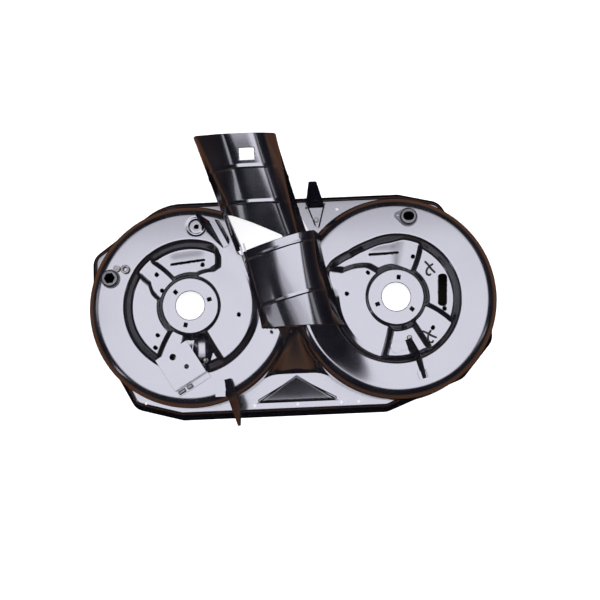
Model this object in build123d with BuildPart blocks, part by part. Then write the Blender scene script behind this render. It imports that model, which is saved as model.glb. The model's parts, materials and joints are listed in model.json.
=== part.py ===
from build123d import *
import os
from math import atan2, cos, degrees, hypot, radians, sin, tan

# Twin spindle rear discharge mower deck, pressed and painted steel sheet.
# X runs to the right along the spindle line, Y to the rear, Z up from the skirt rim.
# Places on the left ring and its skirt are given from the left spindle, those on the right
# from the right spindle, and those of the chutes and the hump from midway between the two.
# All sizes are millimetres and degrees.

# Sheet and fits
SHEET = 2.8
CHUTE_SHEET = 2.4
BRACKET_SHEET = 3.6
SEAT_GAP = 0.2
SIDE_GAP = 0.3
ARC_STEPS = 8
INNER_REACH = 5.0

# Spindle line
SPINDLE_SPACING = 500.0
SPINDLE_BORE_RADIUS = 35.0
SEAT_RADIUS = 66.0
SEAT_LEAN = 45.0
SEAT_ROUND = 4.0
BOLT_CIRCLE_RADIUS = 49.0
SQUARE_HOLE = 9.2
LEFT_BOLT_TURN = 15.5
RIGHT_BOLT_TURN = 79.5

# Levels of the pressing
FLANGE_Z = 42.0
RING_Z = 118.0
FLOOR_Z = 106.0
RECESS_Z = 97.0
SEAT_Z = 112.0

# Skirt outline
REAR_Y = 281.0
FRONT_Y = -278.0
LEFT_X = -262.0
RIGHT_X = 252.0
REAR_LEFT_BREAK_X = -78.0
LEFT_BREAK_Y = 146.0
LEFT_WAIST_Y = 62.0
LEFT_INNER_X = -228.0
LEFT_INNER_Y = -60.0
FRONT_LEFT_SIDE_X = -199.0
FRONT_LEFT_SIDE_Y = -168.0
FRONT_LEFT_NOSE_X = -158.0
FRONT_LEFT_NOSE_Y = -245.0
FRONT_LEFT_BREAK_X = -38.0
FRONT_RIGHT_BREAK_X = -26.0
FRONT_RIGHT_NOSE_X = 171.0
FRONT_RIGHT_NOSE_Y = -202.0
RIGHT_BREAK_Y = -109.0
RIGHT_WAIST_Y = -38.0
RIGHT_INNER_X = 220.0
RIGHT_INNER_Y = 70.0
REAR_RIGHT_SIDE_X = 174.0
REAR_RIGHT_SIDE_Y = 194.0
REAR_RIGHT_NOSE_X = 136.0
REAR_RIGHT_NOSE_Y = 256.0
REAR_RIGHT_BREAK_X = 32.0
SKIRT_CORNER_RADIUS = 40.0
SKIRT_SWEEP_RADIUS = 150.0
SKIRT_ROLL_RADIUS = 9.0
SKIRT_LEAN = 21.0

# Rings
RING_FOOT_RADIUS = 254.0
RING_DRAFT = 6.0
SHOULDER_RADIUS = 26.0

# Pockets
POCKET_RIM_RADIUS = 164.0
POCKET_SLOPE = 45.0
POCKET_RIM_ROUND = 9.0
POCKET_FLOOR_ROUND = 7.0
RAMP_TURN = 42.0
RAMP_START = 62.0
RAMP_RUN = 105.0
RECESS_INNER_RADIUS = 60.0
RECESS_ROUND = 9.0
RECESS_FOOT_ROUND = 3.5
RECESS_WALL_SLOPE = 50.0
RECESS_MEET_Z = 110.0
RECESS_TOOL_HEIGHT = 15.0
RECESS_TOP_ROUND = 12.0
RECESS_SLOPE = 35.0
LEFT_TOP_RECESS_FROM = 58.0
LEFT_TOP_RECESS_TO = 121.0
LEFT_SIDE_RECESS_FROM = 152.0
LEFT_SIDE_RECESS_TO = 232.0
LEFT_FRONT_RECESS_FROM = 258.0
LEFT_FRONT_RECESS_TO = 298.0
RIGHT_TOP_RECESS_FROM = 83.0
RIGHT_TOP_RECESS_TO = 131.0
RIGHT_SIDE_RECESS_FROM = -24.0
RIGHT_SIDE_RECESS_TO = 54.0
RIGHT_FRONT_RECESS_FROM = 255.0
RIGHT_FRONT_RECESS_TO = 298.0
TAIL_SLOPE = 40.0
TAIL_REAR_X = -60.0
TAIL_REAR_Y = 149.0
TAIL_TIP_X = -184.0
TAIL_TIP_Y = 88.0
TAIL_FOOT_X = -192.0
TAIL_FOOT_Y = 36.0
TAIL_FRONT_X = -42.0
TAIL_FRONT_Y = 80.0

# Rear left dimple
DIMPLE_X = 20.3
DIMPLE_Y = 192.9
DIMPLE_RADIUS = 23.0
DIMPLE_GROOVE = 9.0
DIMPLE_DEPTH = 3.6
DIMPLE_HOLE_RADIUS = 5.0

# Front hump between the rings
SEAM_Y = -64.0
HUMP_BASE_Y = -172.0
HUMP_TOP_Z = 151.0
HUMP_LEFT_X = -26.0
HUMP_FOOT_X = -78.0
HUMP_FOOT_RUN_X = 40.0
HUMP_FOOT_RUN_Y = -44.0
RAMP_LINE_X = -100.0
RAMP_LINE_Y = -150.0
RAMP_HEADING = -33.0
RAMP_SLOPE = 12.4
FLANK_TOP_X = 97.0
FLANK_HEADING = -70.0
FLANK_SLOPE = 45.0
FLANK_TOP_Z = 137.0
WEDGE_LEFT_X = -118.0
WEDGE_RIGHT_X = 96.0
CLIMB_HEIGHT = 190.0
CLIMB_ROUND = 26.0
CLIMB_SWEEP_RADIUS = 300.0
CLIMB_END_SLOPE = 2.5
CLIMB_REACH = 320.0
CLIMB_RUN_OUT = 30.0
COVE_RADIUS = 48.0
COVE_END_SLOPE = 4.0
COVE_RUN_OUT = 16.0
COVE_LENGTH = 96.0

# Flange details
FLANGE_HOLE_RADIUS = 3.6
FLANGE_HOLE_Y = -248.0
FLANGE_HOLE_LEFT_X = -106.7
FLANGE_HOLE_RIGHT_X = 108.6
FLANGE_HOLE_FAR_X = 151.5
CORNER_HOLE_X = -124.9
CORNER_HOLE_Y = -231.0
REAR_HOLE_X = -129.3
REAR_HOLE_Y = 239.3
TRIANGLE_APEX_Y = -180.0
TRIANGLE_BASE_Y = -240.0
TRIANGLE_HALF = 97.0
TRIANGLE_LINE = 6.5
TRIANGLE_DEPTH = 2.6
TRIANGLE_LEAN = 45.0

# Louvres
LOUVRE_LENGTH = 80.0
LOUVRE_REACH = 21.0
LOUVRE_RISE = 5.0
LOUVRE_SLOT = 3.2
LOUVRE_LEAN = 45.0
LOUVRE_ROUND_SHARE = 0.45
LEFT_LOUVRE_X = -5.5
LEFT_LOUVRE_Y = 110.6
LEFT_LOUVRE_TURN = 6.0
RIGHT_LOUVRE_X = -24.0
RIGHT_LOUVRE_Y = 111.0
RIGHT_LOUVRE_TURN = 1.0
SIDE_SLOT_X = 116.0
SIDE_SLOT_Y = 14.0
SIDE_SLOT_LENGTH = 78.0
SIDE_SLOT_WIDTH = 20.0
SIDE_SLOT_TURN = -4.0
SIDE_SLOT_ROUND_SHARE = 0.4

# Small pocket holes
PIN_HOLE_RADIUS = 4.4
LEFT_LOUVRE_HOLE = (31.0, 101.5)
LEFT_SPOKE_OUTER_HOLE = (-80.4, 80.0)
LEFT_SPOKE_INNER_HOLE = (-68.3, 39.8)
LEFT_SIDE_UPPER_HOLE = (-82.8, -67.9)
LEFT_SIDE_LOWER_HOLE = (-89.1, -98.0)
LEFT_LAND_HOLE = (116.6, -26.8)
RIGHT_LAND_REAR_HOLE = (-64.6, 62.9)
RIGHT_LAND_FRONT_HOLE = (-118.3, 13.5)
RIGHT_SIDE_HOLE = (118.0, -32.0)
RIGHT_PANEL_HOLE = (85.4, -78.4)
RIGHT_SPOKE_HOLE = (47.4, 97.7)
PIN_SLOT_WIDTH = 2.6
REAR_PIN_SLOT = (125.7, -65.9)
REAR_PIN_SLOT_TURN = 39.0
REAR_PIN_SLOT_LENGTH = 25.7
FRONT_PIN_SLOT = (77.2, -123.8)
FRONT_PIN_SLOT_TURN = 31.0
FRONT_PIN_SLOT_LENGTH = 19.8

# Lower chute, three sections from the seam to its rear edge
BEAD_WIDTH = 7.0
BEAD_RISE = 2.2
CHUTE_FOOT_Z = 92.0
CHUTE_TURN = 13.5
CHUTE_POINTS = 25
SEAM_LEFT_X = -79.0
SEAM_LEFT_Z = 118.0
SEAM_CROWN_X = 22.0
SEAM_CROWN_Z = 152.0
SEAM_RIGHT_X = 128.0
SEAM_RIGHT_Z = 106.0
SEAM_FOOT_SPREAD = 2.0
SEAM_ROUND = 14.0
MID_LEFT = (-90.0, -12.0)
MID_SPAN = 191.0
MID_LEFT_RUN = 13.0
MID_LEFT_Z = 160.0
MID_CROWN_RUN = 108.0
MID_CROWN_Z = 187.0
MID_RIGHT_RUN = 160.0
MID_RIGHT_Z = 172.0
REAR_LEFT = (-124.0, 115.0)
REAR_SPAN = 202.0
REAR_LEFT_RUN = 13.0
REAR_LEFT_Z = 186.0
REAR_CROWN_RUN = 140.0
REAR_CROWN_Z = 216.0
REAR_RIGHT_RUN = 184.0
REAR_RIGHT_Z = 196.0
WALL_MID_RUN = 5.0
WALL_MID_Z = 126.0
CORNER_ROUND = 24.0
CROWN_ROUND = 110.0
WALL_ROUND = 20.0
REAR_BEAD_BACK = 15.0
FRONT_BEAD_BACK = 0.0

# Rear opening of the shell behind the throat
OPENING_REAR_Y = 246.0
OPENING_REAR_LEFT_X = -166.0
OPENING_REAR_RIGHT_X = 18.0
OPENING_RIGHT_X = 60.0
OPENING_RIGHT_Y = 158.0

# Upper chute
DUCT_FRONT_Y = 122.0
DUCT_REAR_Y = 380.0
DUCT_FRONT_LEFT_X = -132.5
DUCT_REAR_LEFT_X = -217.0
DUCT_FRONT_BEND_LEFT_X = -92.0
DUCT_REAR_BEND_LEFT_X = -146.0
DUCT_FRONT_BEND_RIGHT_X = 14.0
DUCT_REAR_BEND_RIGHT_X = -65.0
DUCT_FRONT_RIGHT_X = 52.0
DUCT_REAR_RIGHT_X = -23.0
DUCT_FRONT_TOP = 189.0
DUCT_REAR_TOP = 292.0
DUCT_SIDE_DROP = 52.0
DUCT_REAR_FOOT = 176.0
DUCT_LIFT_Y = 218.0
DUCT_BEND_RADIUS = 60.0
DUCT_EDGE_RADIUS = 26.0
DUCT_BEAD_REAR_Y = 302.0
DUCT_BEAD_FRONT_Y = 226.0
DUCT_HOLE_X = -90.7
DUCT_HOLE_Y = 323.5
DUCT_HOLE_WIDTH = 34.0
DUCT_HOLE_LENGTH = 25.0
DUCT_MOUTH_LEFT_Y = 203.0
DUCT_MOUTH_RIGHT_X = -21.0
DUCT_MOUTH_RIGHT_Y = 147.0
DUCT_MOUTH_FRONT_X = 2.0
DUCT_WALL_KEEP = 13.0
DUCT_CUT_LEAN = 15.0

# Rear right hanger, on the flange
HANGER_FRONT_LEFT = (-188.0, 196.0)
HANGER_FRONT_RIGHT = (-176.0, 192.0)
HANGER_REAR_RIGHT = (-160.0, 246.0)
HANGER_REAR_LEFT = (-210.0, 250.0)
HANGER_LEAN = 24.0
HANGER_HEIGHT = 104.0
HANGER_FOOT_WIDTH = 50.0
HANGER_HEAD_WIDTH = 19.0
HANGER_HEAD_SHIFT = -6.0
HANGER_X = -185.0
HANGER_Y = 246.0
GUSSET_HEIGHT = 40.0
GUSSET_NOSE = 5.0
HANGER_BOLT = (-183.0, 212.0)

# Rear left hanger, a channel on the left ring
CHANNEL_FRONT = (93.0, 140.0)
CHANNEL_REAR = (60.0, 206.0)
CHANNEL_WIDTH = 17.0
CHANNEL_TALL_WALL = 44.0
CHANNEL_LOW_WALL = 24.0
CHANNEL_TAPER = 30.0
CHANNEL_LEFT_LEAN = 28.0
CHANNEL_RIGHT_LEAN = 18.0

# Front left hanger, a tab on the ring and a leaning horn over the front edge
TAB_X = 68.0
TAB_Y = -203.0
TAB_WIDTH = 24.0
TAB_LENGTH = 40.0
HORN_LENGTH = 114.0
HORN_TURN = -80.0
HORN_LEAN = 36.0
HORN_ROOT_WIDTH = 26.0
HORN_BELLY = 48.0
HORN_BELLY_RUN = 66.0
HORN_TIP_LOW = 20.0
HORN_TIP_HIGH = 28.0

# Box bracket over the left pocket
BOX_X = -21.0
BOX_Y = -147.0
BOX_TURN = 31.0
BOX_SIDE = 87.0
BOX_TOP_Z = 150.0
BOX_FOOT_REACH = 15.0
BOX_LEG_FROM = -28.0
BOX_LEG_WIDTH = 36.0
BOX_BIG_HOLE_RADIUS = 7.6
BOX_SMALL_HOLE_RADIUS = 5.4
BOX_BIG_HOLE = (-39.0, -125.5)
BOX_SMALL_HOLE = (-7.0, -149.0)
LATCH_ALONG = -10.0
LATCH_LENGTH = 14.0
LATCH_WIDTH = 9.0
LATCH_HEIGHT = 13.0
CLIP_ALONG = -32.0
CLIP_LENGTH = 18.0
CLIP_HEIGHT = 8.0
BOX_BOLT = (33.0, -134.0)
BOX_BOLT_RADIUS = 7.0
BOX_BOLT_HEIGHT = 22.0

# Belt keeper in the right pocket
KEEPER_REAR = (16.0, -106.0)
KEEPER_TURN = -74.0
KEEPER_LENGTH = 101.0
KEEPER_STEP_FROM = 22.0
KEEPER_STEP_TO = 44.0
KEEPER_CREST = 150.0
KEEPER_REAR_Z = 130.0
KEEPER_FRONT_Z = 136.0
KEEPER_TAB_LENGTH = 24.0
KEEPER_TAB_WIDTH = 20.0
KEEPER_LIP = 9.0
KEEPER_LEAN = 18.0
KEEPER_CLEAR = 2.4
KEEPER_DISC = (-4.0, -121.0)
KEEPER_DISC_RADIUS = 15.0
KEEPER_BOLT = (28.5, -100.0)

# Wash ports
PORT_FLANGE = 3.0
PORT_BARREL_RADIUS = 20.0
PORT_FLANGE_RADIUS = 23.0
PORT_HEIGHT = 15.0
PORT_HOLE_RADIUS = 13.0
PORT_HOLE_STRETCH = 5.0
LEFT_PORT = (-190.2, 72.1)
LEFT_PORT_TURN = 62.0
RIGHT_PORT = (39.3, 193.9)
RIGHT_PORT_EAR = (14.6, 199.3)
EAR_RADIUS = 8.5
EAR_HOLE_RADIUS = 3.2
STRAP_NEAR = (-174.5, 96.5)
STRAP_RADIUS = 8.0
STRAP_SHEET = 3.0
STUD = (-153.6, 93.6)
STUD_RADIUS = 10.5
STUD_BORE_RADIUS = 5.0
STUD_HEIGHT = 9.0

# Small fasteners
BOLT_HEAD_RADIUS = 6.5
BOLT_HEAD_HEIGHT = 5.0
SCREW_RADIUS = 4.2
SCREW_HEIGHT = 2.6
SEAM_SCREW_LEFT = (-54.0, -73.0)
SEAM_SCREW_MID = (-8.0, -76.0)
LUG_WIDTH = 4.4
LUG_RISE = 14.0
LUG_LENGTH = 20.0
LUG_LEFT_RUN = 7.0
LUG_LEFT_TOP = 160.0
LUG_RIGHT_RUN = 17.0
LUG_RIGHT_TOP = 192.0
LUG_BACK = 7.0
SPRING_CLIP_LENGTH = 22.0
SPRING_CLIP_WIDTH = 3.0
SPRING_CLIP_HEIGHT = 2.4
SPRING_CLIP_SPREAD = 32.0
REAR_CLIP = (88.6, 68.8)
REAR_CLIP_TURN = 62.0
FRONT_CLIP = (73.5, -97.8)
FRONT_CLIP_TURN = 48.0

HALF_SPACING = SPINDLE_SPACING / 2.0
LEFT_SPINDLE = (-HALF_SPACING, 0.0)
RIGHT_SPINDLE = (HALF_SPACING, 0.0)


def from_left(x, y):
    """A place given from the left spindle."""
    return (LEFT_SPINDLE[0] + x, LEFT_SPINDLE[1] + y)


def from_right(x, y):
    """A place given from the right spindle."""
    return (RIGHT_SPINDLE[0] + x, RIGHT_SPINDLE[1] + y)


def half_angle_inset(inset, lean):
    """Sideways move of an outline when a face leaning lean degrees from the level moves in by inset."""
    return inset * tan(radians(lean / 2.0))


def skirt_points():
    """Corners of the skirt outline, anticlockwise from the rear left break."""
    return [
        from_left(REAR_LEFT_BREAK_X, REAR_Y),
        from_left(LEFT_X, LEFT_BREAK_Y),
        from_left(LEFT_X, LEFT_WAIST_Y),
        from_left(LEFT_INNER_X, LEFT_INNER_Y),
        from_left(FRONT_LEFT_SIDE_X, FRONT_LEFT_SIDE_Y),
        from_left(FRONT_LEFT_NOSE_X, FRONT_LEFT_NOSE_Y),
        from_left(FRONT_LEFT_BREAK_X, FRONT_Y),
        from_right(FRONT_RIGHT_BREAK_X, FRONT_Y),
        from_right(FRONT_RIGHT_NOSE_X, FRONT_RIGHT_NOSE_Y),
        from_right(RIGHT_X, RIGHT_BREAK_Y),
        from_right(RIGHT_X, RIGHT_WAIST_Y),
        from_right(RIGHT_INNER_X, RIGHT_INNER_Y),
        from_right(REAR_RIGHT_SIDE_X, REAR_RIGHT_SIDE_Y),
        from_right(REAR_RIGHT_NOSE_X, REAR_RIGHT_NOSE_Y),
        from_right(REAR_RIGHT_BREAK_X, REAR_Y),
    ]


def skirt_block(inset):
    """Flange and skirt as a solid block, its wall leaning in to a rolled top edge."""
    with BuildPart() as block:
        with BuildSketch() as outline:
            with BuildLine():
                Polyline(*skirt_points(), close=True)
            make_face()
            sweep_x, sweep_y = skirt_points()[0]
            sweep = outline.vertices().sort_by_distance((sweep_x, sweep_y, 0))[0]
            fillet(sweep, SKIRT_SWEEP_RADIUS)
            corners = [
                outline.vertices().sort_by_distance((x, y, 0))[0]
                for x, y in skirt_points()[1:]
            ]
            fillet(corners, SKIRT_CORNER_RADIUS)
            if inset:
                offset(amount=-inset / cos(radians(SKIRT_LEAN)))
        extrude(amount=FLANGE_Z - inset, taper=SKIRT_LEAN)
        fillet(block.edges().group_by(Axis.Z)[-1], SKIRT_ROLL_RADIUS - inset)
        if inset:
            extrude(outline.sketch, amount=-INNER_REACH)
    return block.part


def ring_block(centre, inset, top):
    """One blade ring as a solid frustum with a rounded shoulder."""
    below = INNER_REACH if inset else 0.0
    foot = RING_FOOT_RADIUS + below * tan(radians(RING_DRAFT)) - inset / cos(radians(RING_DRAFT))
    height = top - inset + below
    with BuildPart() as block:
        with Locations((centre[0], centre[1], -below)):
            Cone(
                foot,
                foot - height * tan(radians(RING_DRAFT)),
                height,
                align=(Align.CENTER, Align.CENTER, Align.MIN),
            )
        fillet(block.edges().group_by(Axis.Z)[-1], SHOULDER_RADIUS - inset)
    return block.part


def pocket_tool(centre, inset):
    """Sunk pocket, turned about the spindle line, with rounded rim and floor."""
    floor = FLOOR_Z - inset
    rim = RING_Z - inset
    rim_radius = POCKET_RIM_RADIUS + half_angle_inset(inset, POCKET_SLOPE)
    floor_radius = rim_radius - (rim - floor) / tan(radians(POCKET_SLOPE))
    lip = rim_radius + POCKET_RIM_ROUND
    high = RING_Z + INNER_REACH
    with BuildPart() as tool:
        with BuildSketch(Plane.XZ) as profile:
            with BuildLine():
                Polyline(
                    (0, floor), (floor_radius, floor), (rim_radius, rim),
                    (lip, rim), (lip, high), (0, high), close=True,
                )
            make_face()
            rim_corner = profile.vertices().sort_by_distance((rim_radius, rim, 0))[0]
            fillet(rim_corner, POCKET_RIM_ROUND - inset)
            floor_corner = profile.vertices().sort_by_distance((floor_radius, floor, 0))[0]
            fillet(floor_corner, POCKET_FLOOR_ROUND + inset)
        revolve(axis=Axis.Z)
    return Location((centre[0], centre[1], 0)) * tool.part


def polar(centre, radius, angle):
    """Point at a radius and angle about a centre."""
    return (centre[0] + radius * cos(radians(angle)), centre[1] + radius * sin(radians(angle)))


def sector_face(centre, outer, inner, start, stop, rounding):
    """Ring sector with rounded corners."""
    middle = (start + stop) / 2.0
    with BuildSketch() as sector:
        with BuildLine():
            ThreePointArc(
                polar(centre, outer, start), polar(centre, outer, middle), polar(centre, outer, stop)
            )
            Line(polar(centre, outer, stop), polar(centre, inner, stop))
            ThreePointArc(
                polar(centre, inner, stop), polar(centre, inner, middle), polar(centre, inner, start)
            )
            Line(polar(centre, inner, start), polar(centre, outer, start))
        make_face()
        fillet(sector.vertices(), rounding)
    return sector.sketch


def recess_tool(centre, start, stop, inset):
    """Sector recess in a pocket floor, its outer wall carrying on the pocket wall."""
    grow = half_angle_inset(inset, 90.0 - RECESS_SLOPE)
    side = tan(radians(RECESS_SLOPE))
    wall = 1.0 / tan(radians(RECESS_WALL_SLOPE))
    meet = POCKET_RIM_RADIUS - (RING_Z - RECESS_MEET_Z) / tan(radians(POCKET_SLOPE))
    meet += half_angle_inset(inset, POCKET_SLOPE)
    low_outer = meet - (RECESS_MEET_Z - RECESS_Z) * wall
    high_outer = low_outer + RECESS_TOOL_HEIGHT * wall
    middle = (meet + RECESS_INNER_RADIUS) / 2.0
    low_turn = degrees(((FLOOR_Z - RECESS_Z) * side - grow) / middle)
    high_turn = low_turn - degrees(RECESS_TOOL_HEIGHT * side / middle)
    low = RECESS_Z - inset
    with BuildPart() as tool:
        with BuildSketch(Plane.XY.offset(low)):
            add(
                sector_face(
                    centre, low_outer, RECESS_INNER_RADIUS, start + low_turn, stop - low_turn, RECESS_ROUND
                )
            )
        with BuildSketch(Plane.XY.offset(low + RECESS_TOOL_HEIGHT)):
            add(
                sector_face(
                    centre, high_outer, RECESS_INNER_RADIUS,
                    start + high_turn, stop - high_turn, RECESS_TOP_ROUND,
                )
            )
        loft(ruled=True)
        fillet(tool.edges().group_by(Axis.Z)[0], RECESS_FOOT_ROUND + inset)
    return tool.part


def ramp_plane(inset):
    """Gentle ramp from the left pocket floor up to the ring at its rear right."""
    slope = atan2(RING_Z - FLOOR_Z, RAMP_RUN)
    along = (cos(radians(RAMP_TURN)), sin(radians(RAMP_TURN)))
    origin = (
        LEFT_SPINDLE[0] + along[0] * RAMP_START,
        LEFT_SPINDLE[1] + along[1] * RAMP_START,
        FLOOR_Z - inset,
    )
    return Plane(origin, z_dir=(-sin(slope) * along[0], -sin(slope) * along[1], cos(slope)))


def moved_in(plane, inset):
    """The same plane moved against its normal."""
    return plane.offset(-inset)


def front_plane():
    """Sloping front wall of the hump, between the two rings."""
    return Plane((0, HUMP_BASE_Y, FLANGE_Z), x_dir=(1, 0, 0), z_dir=(0, -1, 1))


def hump_left_plane():
    """Left flank of the hump, from its foot line on the left ring."""
    foot = Vector(HUMP_FOOT_X, SEAM_Y, RING_Z)
    run = Vector(HUMP_FOOT_RUN_X, HUMP_FOOT_RUN_Y, 0)
    rise = Vector(HUMP_LEFT_X - HUMP_FOOT_X, 0, HUMP_TOP_Z - RING_Z)
    return Plane(foot, x_dir=run, z_dir=run.cross(rise))


def climb_prism(inset):
    """Solid under the top of the climbing ring: level, then a hollow arc, then the slope to the throat."""
    radius = CLIMB_SWEEP_RADIUS + inset
    turn = CLIMB_SWEEP_RADIUS * tan(radians(RAMP_SLOPE / 2.0))
    arc = [
        (turn - radius * sin(radians(lean)), RING_Z + CLIMB_SWEEP_RADIUS - radius * cos(radians(lean)))
        for lean in (RAMP_SLOPE, (RAMP_SLOPE + CLIMB_END_SLOPE) / 2.0, CLIMB_END_SLOPE)
    ]
    far = (arc[0][0] - CLIMB_REACH, arc[0][1] + CLIMB_REACH * tan(radians(RAMP_SLOPE)))
    near = (arc[2][0] + CLIMB_RUN_OUT, arc[2][1] - CLIMB_RUN_OUT * tan(radians(CLIMB_END_SLOPE)))
    spot = from_right(RAMP_LINE_X, RAMP_LINE_Y)
    with BuildPart() as prism:
        with BuildSketch(standing_plane(*spot, RAMP_HEADING)):
            with BuildLine():
                Line(far, arc[0])
                ThreePointArc(*arc)
                Polyline(arc[2], near, (near[0], -INNER_REACH), (far[0], -INNER_REACH), far)
            make_face()
        extrude(amount=CLIMB_REACH, both=True)
    return prism.part


def flank_plane():
    """Right flank of the climbing ring, down to the right pocket floor."""
    run = (cos(radians(FLANK_HEADING)), sin(radians(FLANK_HEADING)))
    lean = radians(FLANK_SLOPE)
    return Plane(
        (FLANK_TOP_X, SEAM_Y, FLANK_TOP_Z),
        z_dir=(-sin(lean) * run[1], sin(lean) * run[0], cos(lean)),
    )


def front_wedge(inset):
    """Solid between the rings under the sloping front wall."""
    below = INNER_REACH if inset else 0.0
    rear = SEAM_Y + below
    width = WEDGE_RIGHT_X - WEDGE_LEFT_X
    with BuildPart() as wedge:
        with Locations((WEDGE_LEFT_X, rear, -below)):
            Box(
                width, rear - HUMP_BASE_Y + FLANGE_Z, HUMP_TOP_Z + below - inset,
                align=(Align.MIN, Align.MAX, Align.MIN),
            )
        split(bisect_by=moved_in(front_plane(), inset), keep=Keep.BOTTOM)
        split(bisect_by=moved_in(hump_left_plane(), inset), keep=Keep.BOTTOM)
    return wedge.part


def upper_cone_edges(part, foot, below):
    """Edges where the side of the right ring's cone meets its climbing top."""
    found = []
    for edge in part.edges():
        spot = edge @ 0.5
        radius = foot - (spot.Z + below) * tan(radians(RING_DRAFT))
        away = hypot(spot.X - RIGHT_SPINDLE[0], spot.Y - RIGHT_SPINDLE[1])
        level = abs((edge % 0.5).Z) < sin(radians(FLANK_SLOPE))
        if level and spot.Z > FLANGE_Z and abs(away - radius) < SIDE_GAP:
            found.append(edge)
    return found


def flank_cove(inset):
    """Hollow blend between the foot of the climbing ring's flank and the pocket floor."""
    radius = COVE_RADIUS + inset
    foot_run = (FLANK_TOP_Z - FLOOR_Z) / tan(radians(FLANK_SLOPE))
    middle = (foot_run + COVE_RADIUS * tan(radians(FLANK_SLOPE / 2.0)), FLOOR_Z + COVE_RADIUS)
    steep = FLANK_SLOPE - COVE_END_SLOPE
    arc = [
        (middle[0] - radius * sin(radians(lean)), middle[1] - radius * cos(radians(lean)))
        for lean in (steep, FLANK_SLOPE / 2.0, COVE_END_SLOPE)
    ]
    far = (arc[0][0] - COVE_RUN_OUT, arc[0][1] + COVE_RUN_OUT * tan(radians(steep)))
    near = (arc[2][0] + COVE_RUN_OUT, arc[2][1] - COVE_RUN_OUT * tan(radians(COVE_END_SLOPE)))
    below = INNER_REACH if inset else 0.0
    with BuildPart() as cove:
        with BuildSketch(standing_plane(FLANK_TOP_X, SEAM_Y, FLANK_HEADING + 90.0)):
            with BuildLine():
                Line(far, arc[0])
                ThreePointArc(*arc)
                Polyline(arc[2], near, (near[0], FLANGE_Z), (far[0], FLANGE_Z), far)
            make_face()
        extrude(amount=COVE_LENGTH, both=True)
        add(climb_prism(inset), mode=Mode.INTERSECT)
        split(bisect_by=Plane((0, SEAM_Y + below, 0), z_dir=(0, 1, 0)), keep=Keep.BOTTOM)
    return cove.part


def climbing_ring(inset):
    """Right ring's front left sector, climbing to the throat."""
    below = INNER_REACH if inset else 0.0
    foot = RING_FOOT_RADIUS + below * tan(radians(RING_DRAFT)) - inset / cos(radians(RING_DRAFT))
    height = CLIMB_HEIGHT + below
    with BuildPart() as sector:
        with Locations((RIGHT_SPINDLE[0], RIGHT_SPINDLE[1], -below)):
            Cone(
                foot,
                foot - height * tan(radians(RING_DRAFT)),
                height,
                align=(Align.CENTER, Align.CENTER, Align.MIN),
            )
        add(climb_prism(inset), mode=Mode.INTERSECT)
        fillet(upper_cone_edges(sector, foot, below), CLIMB_ROUND - inset)
        split(bisect_by=moved_in(flank_plane(), inset), keep=Keep.BOTTOM)
        split(bisect_by=Plane((0, SEAM_Y + below, 0), z_dir=(0, 1, 0)), keep=Keep.BOTTOM)
    return sector.part


def tail_tool(inset):
    """Rear left end of the right pocket's louvre recess, run out to the throat."""
    grow = half_angle_inset(inset, 90.0 - TAIL_SLOPE)
    with BuildPart() as tool:
        with BuildSketch(Plane.XY.offset(RING_Z - inset)):
            with BuildLine():
                Polyline(
                    from_right(TAIL_REAR_X, TAIL_REAR_Y),
                    from_right(TAIL_TIP_X, TAIL_TIP_Y),
                    from_right(TAIL_FOOT_X, TAIL_FOOT_Y),
                    from_right(TAIL_FRONT_X, TAIL_FRONT_Y),
                    close=True,
                )
            make_face()
            if inset:
                offset(amount=grow)
        extrude(amount=RECESS_Z - RING_Z, taper=TAIL_SLOPE)
    return tool.part


def seat_block(centre, inset):
    """Raised spindle seat with a sloping side."""
    top = SEAT_Z - inset
    low = RECESS_Z - INNER_REACH
    top_radius = SEAT_RADIUS - half_angle_inset(inset, 90.0 - SEAT_LEAN)
    foot_radius = top_radius + (top - low) * tan(radians(SEAT_LEAN))
    with BuildPart() as seat:
        with Locations((centre[0], centre[1], low)):
            Cone(
                foot_radius, top_radius, top - low,
                align=(Align.CENTER, Align.CENTER, Align.MIN),
            )
        fillet(seat.edges().group_by(Axis.Z)[-1], SEAT_ROUND - inset)
    return seat.part


def louvre_hood(spot, turn):
    """Raised hood behind a louvre slot, straight at the front and rounded at the rear."""
    with BuildPart() as hood:
        with BuildSketch(Plane.XY.offset(-SHEET / 2.0)) as outline:
            Rectangle(LOUVRE_LENGTH, LOUVRE_REACH, align=(Align.CENTER, Align.MIN))
            fillet(outline.vertices().group_by(Axis.Y)[-1], LOUVRE_REACH * LOUVRE_ROUND_SHARE)
        extrude(amount=SHEET / 2.0 + LOUVRE_RISE, taper=LOUVRE_LEAN)
    return Location((*spot, RECESS_Z), (0, 0, turn)) * hood.part


def boss_groove(inset):
    """Pressed groove round the rear left boss, with sloping sides."""
    middle = DIMPLE_RADIUS - DIMPLE_GROOVE / 2.0
    grow = half_angle_inset(inset, 45.0)
    foot = DIMPLE_GROOVE / 2.0 - DIMPLE_DEPTH + grow
    wide = foot + DIMPLE_DEPTH + SEAT_GAP
    low = RING_Z - DIMPLE_DEPTH - inset
    high = RING_Z + SEAT_GAP - inset
    with BuildPart() as tool:
        with BuildSketch(Plane.XZ):
            with BuildLine():
                Polyline(
                    (middle - foot, low), (middle + foot, low),
                    (middle + wide, high), (middle - wide, high), close=True,
                )
            make_face()
        revolve(axis=Axis.Z)
    return Location((*from_left(DIMPLE_X, DIMPLE_Y), 0)) * tool.part


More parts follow.
